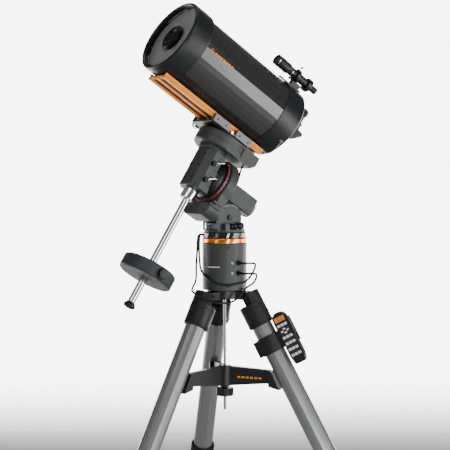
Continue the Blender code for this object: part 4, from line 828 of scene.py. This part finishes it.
def pier_details():
    """Screws, seams, ports and plain printed bars on the pier."""
    spots = [on_pier(azimuth, RING_Z + height)
             for azimuth in (-24.5, 95.5, 215.5) for height in (-0.0125, -0.144)]
    cap_screws("pier_screws", BLACK, "base", spots, 0.0055, 0.0018, recess=0.9)
    bm = bmesh.new()
    for height, half in PIER_SEAMS:
        radii = (PIER_R - 0.0003, PIER_R + 0.0004)
        band(bm, PIER_UPRIGHT, 120, radii, RING_Z + height - half, (half * 0.4, half * 1.6, half * 2))
    piece("pier_seams", bm, CAST, "base")
    bm = bmesh.new()
    for height in PORT_HEIGHTS:
        for k in range(2):
            pier_mark(bm, PORT_AZIMUTH - 17.5, RING_Z + height + 0.0022 - 0.0044 * k, 0.0075, 0.0016)
    for k in range(7):
        pier_mark(bm, -78.0 + 5.0 * k, RING_Z - 0.079, 0.005, 0.0034)
    for height in (-0.05, -0.056):
        pier_mark(bm, 150.0, RING_Z + height, 0.03, 0.0016)
    piece("pier_marks", bm, WHITE_PRINT_AND_GLINT, "base")
    bm = bmesh.new()
    disc(bm, 0.003, -0.0002, MARK_PROUD, 24, on_pier(-84.5, RING_Z - 0.0775), 0.0001)
    piece("pier_dot", bm, MARK_ORANGE, "base")
    bm = bmesh.new()
    lip = [(0.0062, 0.002), (0.0066, 0.0032), (0.0086, 0.0032), (0.0092, 0.0004), (0.0092, -0.0006),
           (0.0062, -0.0006)]
    for height in PORT_HEIGHTS:
        turned(bm, lip, 48, on_pier(PORT_AZIMUTH, RING_Z + height), closed=True)
    piece("port_rings", bm, PLASTIC, "base")
    bm = bmesh.new()
    rear_z = RING_Z - 0.08
    for azimuth in (150.0, 120.0):
        seat = on_pier(azimuth, rear_z)
        disc(bm, 0.0075, -0.0008, 0.0026, 40, seat, 0.0006)
        disc(bm, 0.003, 0.002, 0.0032, 24, seat, 0.0003)
    seat = on_pier(180.0, rear_z)
    block(bm, (-0.009, -0.006, -0.0008), (0.009, 0.006, 0.0022), seat)
    block(bm, (-0.003, -0.0035, 0.0018), (0.003, 0.0035, 0.005), seat)
    piece("rear_ports", bm, PLASTIC, "base", 0.0003)


# ---- leads ----------------------------------------------
# A pier lead's route: azimuth in degrees, radius, and height above the trim ring's underside.
LEAD_R, DEC_LEAD_R = 0.0034, 0.0032
LEAD_SPANS, DEC_LEAD_SPANS = 150, 48
OUTER_ROUTE = (
    (-122, 0.0791, 0.028), (-122, 0.085, 0.0275), (-122, 0.0905, 0.018), (-122, 0.0925, -0.01),
    (-120, 0.0965, -0.072), (-117, 0.0985, -0.125), (-108, 0.112, -0.15), (-92, 0.1285, -0.16),
    (-75, 0.131, -0.172), (-60, 0.12, -0.187), (-44, 0.105, -0.197), (-22, 0.093, -0.195),
    (-4, 0.089, -0.183), (10, 0.089, -0.163), (22, 0.093, -0.148), (32, 0.104, -0.137),
    (37, 0.113, -0.12), (32, 0.117, -0.105), (18, 0.114, -0.0999), (6, 0.105, -0.0998),
    (4, 0.0962, -0.0998))
INNER_ROUTE = (
    (-113, 0.0791, 0.028), (-113, 0.084, 0.0272), (-114, 0.087, 0.016), (-118, 0.087, -0.015),
    (-118, 0.0855, -0.062), (-104, 0.082, -0.097), (-72, 0.0795, -0.122), (-46, 0.0793, -0.136),
    (-26, 0.0793, -0.139), (-2, 0.08, -0.135), (20, 0.0835, -0.131), (36, 0.089, -0.119),
    (45, 0.098, -0.102), (44, 0.106, -0.083), (34, 0.111, -0.07), (19, 0.109, -0.0658),
    (6, 0.103, -0.0655), (4, 0.0962, -0.0655))
DEC_LEAD_ROUTE = (
    (0.048, 0.1045, 0.0921), (0.05, 0.1045, 0.08), (0.059, 0.1045, 0.056),
    (0.068, 0.1045, 0.03), (0.069, 0.1045, 0.008), (0.0665, 0.1045, -0.003),
    (0.0655, 0.1025, -0.0095), (0.0655, 0.1002, -0.0098))
PIER_LEADS = (("outer", OUTER_ROUTE, "lead_plug_lower"), ("inner", INNER_ROUTE, "lead_plug_upper"))


def leads():
    """The two leads round the pier, and the short one to the declination motor."""
    for name, route, plug in PIER_LEADS:
        points = []
        for azimuth, radius, height in route:
            a = radians(azimuth)
            points.append((PIER_X + radius * cos(a), PIER_Y + radius * sin(a), RING_Z + height))
        line = curve_points(points, LEAD_SPANS)
        bm = bmesh.new()
        swept(bm, line, LEAD_R)
        lead = piece(f"{name}_lead", bm, RUBBER, "base")
        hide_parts(f"lead_{name}")
    line = curve_points([HEAD @ Vector(p) for p in DEC_LEAD_ROUTE], DEC_LEAD_SPANS)
    bm = bmesh.new()
    swept(bm, line, DEC_LEAD_R)
    lead = piece("dec_motor_lead", bm, RUBBER, None)
    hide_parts("dec_lead")
    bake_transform(lead)


# ---- tripod ---------------------------------------------
SPREADER_SLOPE = 0.02  # how an arm of the spreader falls outwards


def tripod_details():
    """Pivot bolts, bands and ribs on the legs, and the spreader's plain mark."""
    for number, leg in enumerate(LEGS, 1):
        spots = [leg @ facing((0, side * 0.03, 0), (0, side, 0)) for side in (-1, 1)]
        cap_screws(f"leg_pivot_bolts_{number}", BLACK, "base", spots, 0.0072, 0.0042)
        bm = bmesh.new()
        for z in (-0.048, -0.104):
            band(bm, leg, 80, (LEG_CAP_R - 0.0003, LEG_CAP_R + 0.001), z, (-0.0008, -0.0032, -0.004))
        socket_screw(bm, leg @ facing((LEG_CAP_R - 0.0006, 0, -0.076), (1, 0, 0)), 0.0045, 0.0022)
        piece(f"leg_cap_bands_{number}", bm, PLASTIC, f"leg_{number}")
        bm = bmesh.new()
        ribs(bm, leg, 20, 0.042, -0.695, (0.0022, 0.015), (-0.0006, 0.0012))
        piece(f"leg_lock_ribs_{number}", bm, PLASTIC, f"lock_{number}", 0.0005)
    bm = bmesh.new()
    out = LEGS[1].to_translation() - Vector((PIER_X, PIER_Y, 0))
    arm = PIER_UPRIGHT @ Matrix.Rotation(out.xy.angle_signed(Vector((1, 0))), 4, "Z")
    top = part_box("spreader")[1].z
    for k in range(6):
        x = 0.048 + 0.015 * k
        z = top - 0.037 - SPREADER_SLOPE * x
        block(bm, (x, -0.0083, z - 0.003), (x + 0.01, -0.0079, z + 0.003), arm)
    piece("spreader_mark", bm, MARK_ORANGE, "leg_spreader")


# ---- hand control ---------------------------------------
HANDSET_LEG = LEGS[1] @ Matrix.Translation((0.0705, -0.018, 0))  # the middle of the hand control's face


def handset_details():
    """The display, its cells and its frame."""
    bm = bmesh.new()
    block(bm, (-0.018, 0.0002, -0.1322), (0.018, 0.0009, -0.1158), HANDSET_LEG)
    piece("handset_display", bm, DISPLAY, "control", 0.0002)
    bm = bmesh.new()
    for z in (-0.1205, -0.1275):
        for k in range(12):
            x = -0.015 + 0.0026 * k
            block(bm, (x, 0.00005, z - 0.0022), (x + 0.0016, 0.0003, z + 0.0022), HANDSET_LEG)
    piece("display_cells", bm, BLACK, "control")
    bm = bmesh.new()
    for low, high in (((-0.0205, -0.1345), (0.0205, -0.1332)), ((-0.0205, -0.1148), (0.0205, -0.1135)),
                      ((-0.0205, -0.1332), (-0.0192, -0.1148)), ((0.0192, -0.1332), (0.0205, -0.1148))):
        block(bm, (low[0], -0.0007, low[1]), (high[0], 0.0002, high[1]), HANDSET_LEG)
    piece("display_frame", bm, PLASTIC, "control", 0.0003)


# ---- stage ----------------------------------------------
FOCAL_PX, FRAME_PX, SENSOR_MM = 1332.5, 450, 36.0
CAMERA_FROM_PIER = Vector((3.7675, -2.5412, 1.2463))
CAMERA_LOOK = Vector((-0.82768, 0.5588, -0.05194))
CAMERA_ROLL = radians(-0.16)
CAMERA_REACH = 300.0  # how far the camera sees
BEHIND = (CAMERA_LOOK.x, CAMERA_LOOK.y, 0.0)  # level, away from the camera
BAND_DISTANCE = 3.0  # from a band light to the piece that mirrors it
FLOOR_REACH, FLOOR_LEVEL = 60.0, -0.0006
FLOOR_NEAR, FLOOR_FAR = 0.9, 3.2  # how far behind the origin the floor starts to glow, and is white
ROOM, BACKDROP = 0.18, 7.0  # how bright the dim studio and the white backdrop are
BACKDROP_RIM, BACKDROP_FULL = 0.9, 0.955  # cosines from BEHIND where the backdrop starts and is full


def camera():
    """The photograph's viewpoint, as a long lens at pier height."""
    data = bpy.data.cameras.new("camera")
    data.sensor_width = SENSOR_MM
    data.lens = FOCAL_PX / FRAME_PX * SENSOR_MM
    data.clip_end = CAMERA_REACH
    obj = bpy.data.objects.new("camera", data)
    bpy.context.collection.objects.link(obj)
    obj.location = CAMERA_FROM_PIER + Vector((PIER_X, PIER_Y, 0))
    turn = CAMERA_LOOK.to_track_quat("-Z", "Y").to_matrix() @ Matrix.Rotation(CAMERA_ROLL, 3, "Z")
    obj.rotation_euler = turn.to_euler()
    bpy.context.scene.camera = obj
    return obj


def area_light(name, width, height, power):
    """A rectangular area light."""
    data = bpy.data.lights.new(name, "AREA")
    data.shape = "RECTANGLE"
    data.size = width
    data.size_y = height
    data.energy = power
    obj = bpy.data.objects.new(name, data)
    bpy.context.collection.objects.link(obj)
    return obj


def softbox(name, at, target, width, height, power):
    """An area light that faces a point."""
    obj = area_light(name, width, height, power)
    obj.location = at
    obj.rotation_euler = (Vector(target) - Vector(at)).to_track_quat("-Z", "Y").to_euler()


def band_light(eye, name, middle, axis, toward, offset, half_width, along, radiance):
    """A softbox that a round piece mirrors to the camera as a bright band along its axis.

    The band lies at an offset from the line of sight, turned towards a direction, and reaches
    half_width to each side, all in degrees round the axis. Light turns twice as far as the surface
    that mirrors it, so the softbox spans four times half_width.
    """
    sight = (eye - middle).normalized()
    flat = (sight - sight.dot(axis) * axis).normalized()
    side = toward - toward.dot(axis) * axis
    side = (side - side.dot(flat) * flat).normalized()
    normal = cos(radians(offset)) * flat + sin(radians(offset)) * side
    light = 2 * normal.dot(sight) * normal - sight
    across = 2 * BAND_DISTANCE * tan(radians(2 * half_width))
    obj = area_light(name, along, across, radiance * pi * along * across)
    long_way = (axis - axis.dot(light) * light).normalized()
    face = Matrix((long_way, light.cross(long_way), light)).transposed().to_4x4()
    obj.matrix_world = Matrix.Translation(middle + BAND_DISTANCE * light) @ face


def floor_finish():
    """Pale paper that grows lighter behind the telescope, until it meets the white backdrop."""
    mat = finish_of("floor_paper", (0.8, 0.8, 0.8), 0.9, grain=40.0, bump=0.02, mottle=0.01, specular=0.1)
    tree = mat.node_tree
    place = node(tree, "TexCoord", {}).outputs["Object"]
    reach = node(tree, "VectorMath", {0: place, 1: BEHIND}, operation="DOT_PRODUCT").outputs["Value"]
    glow = node(tree, "MapRange", {"Value": reach, "From Min": FLOOR_NEAR, "From Max": FLOOR_FAR,
                                   "To Max": BACKDROP}, interpolation_type="SMOOTHSTEP")
    feed(tree, tree.nodes[SHADER], {"Emission Color": (1.0, 1.0, 1.0, 1.0),
                                    "Emission Strength": glow.outputs["Result"]})
    return mat


def studio_world():
    """A dim studio all round, with a white backdrop behind the telescope."""
    world = bpy.data.worlds.new("studio")
    bpy.context.scene.world = world
    world.use_nodes = True
    tree = world.node_tree
    ray = node(tree, "TexCoord", {}).outputs["Generated"]
    toward = node(tree, "VectorMath", {0: ray, 1: BEHIND}, operation="DOT_PRODUCT").outputs["Value"]
    white = node(tree, "MapRange", {"Value": toward, "From Min": BACKDROP_RIM, "From Max": BACKDROP_FULL,
                                    "To Min": ROOM, "To Max": BACKDROP}, interpolation_type="SMOOTHSTEP")
    feed(tree, tree.nodes["Background"], {"Color": (1.0, 1.0, 1.0, 1.0),
                                          "Strength": white.outputs["Result"]})


def stage(eye):
    """A pale floor, a white backdrop and softboxes."""
    bm = bmesh.new()
    for x, y in ((-1, -1), (1, -1), (1, 1), (-1, 1)):
        bm.verts.new((x * FLOOR_REACH, y * FLOOR_REACH, FLOOR_LEVEL))
    bm.faces.new(bm.verts)
    mesh = bpy.data.meshes.new("floor")
    bm.to_mesh(mesh)
    bm.free()
    floor = bpy.data.objects.new("floor", mesh)
    bpy.context.collection.objects.link(floor)
    mesh.materials.append(floor_finish())
    studio_world()

    up = Vector((0, 0, 1))
    right = CAMERA_LOOK.cross(up).normalized()      # to the right in the picture
    tube = HEAD @ Vector((0.1, -0.087, TUBE_Z))
    shaft = HEAD @ Vector((0, 0, -0.3))
    pier = Vector((PIER_X, PIER_Y, RING_Z + 0.015))
    for band_of in (
            ("tube_main", tube, RA_AXIS, DEC_AXIS, 13.0, 10.0, 0.9, 6.8),
            ("tube_low", tube, RA_AXIS, DEC_AXIS, -20.5, 10.5, 0.9, 3.6),
            ("shaft_left", shaft, DEC_AXIS, right, -14.0, 7.0, 1.4, 3.0),
            ("shaft_right", shaft, DEC_AXIS, right, 33.0, 7.0, 1.4, 3.0),
            ("pier_left", pier, up, right, -20.5, 4.0, 0.8, 2.0),
            ("pier_middle", pier, up, right, 9.5, 2.5, 0.8, 14.0),
            ("pier_right", pier, up, right, 35.5, 4.0, 0.8, 2.5)):
        band_light(eye, *band_of)
    middle = HEAD @ Vector((0, 0, 0.1))
    softbox("key", middle + Vector((2.6, 1.2, 1.6)), middle, 1.4, 1.4, 16.0)
    softbox("left", middle + Vector((-1.2, -3.4, 0.6)), middle, 0.5, 2.0, 2.5)
    softbox("top", middle + Vector((-0.6, 0.6, 3.0)), middle, 1.6, 1.6, 14.0)
    softbox("legs", Vector((2.8, -0.6, 0.5)), (PIER_X, PIER_Y, 0.4), 0.3, 0.8, 8.0)


def main():
    """Everything, in order: the camera, the model's finishes, the pieces and the light."""
    eye = camera().location.copy()
    for step in (leads, dress_cad, front_end, tube_marks, rear_end, viewing_end, finder_details,
                 saddle_details, dec_details, weight_details, ra_details, fork_details, pier_details,
                 tripod_details, handset_details):
        step()
    stage(eye)


main()
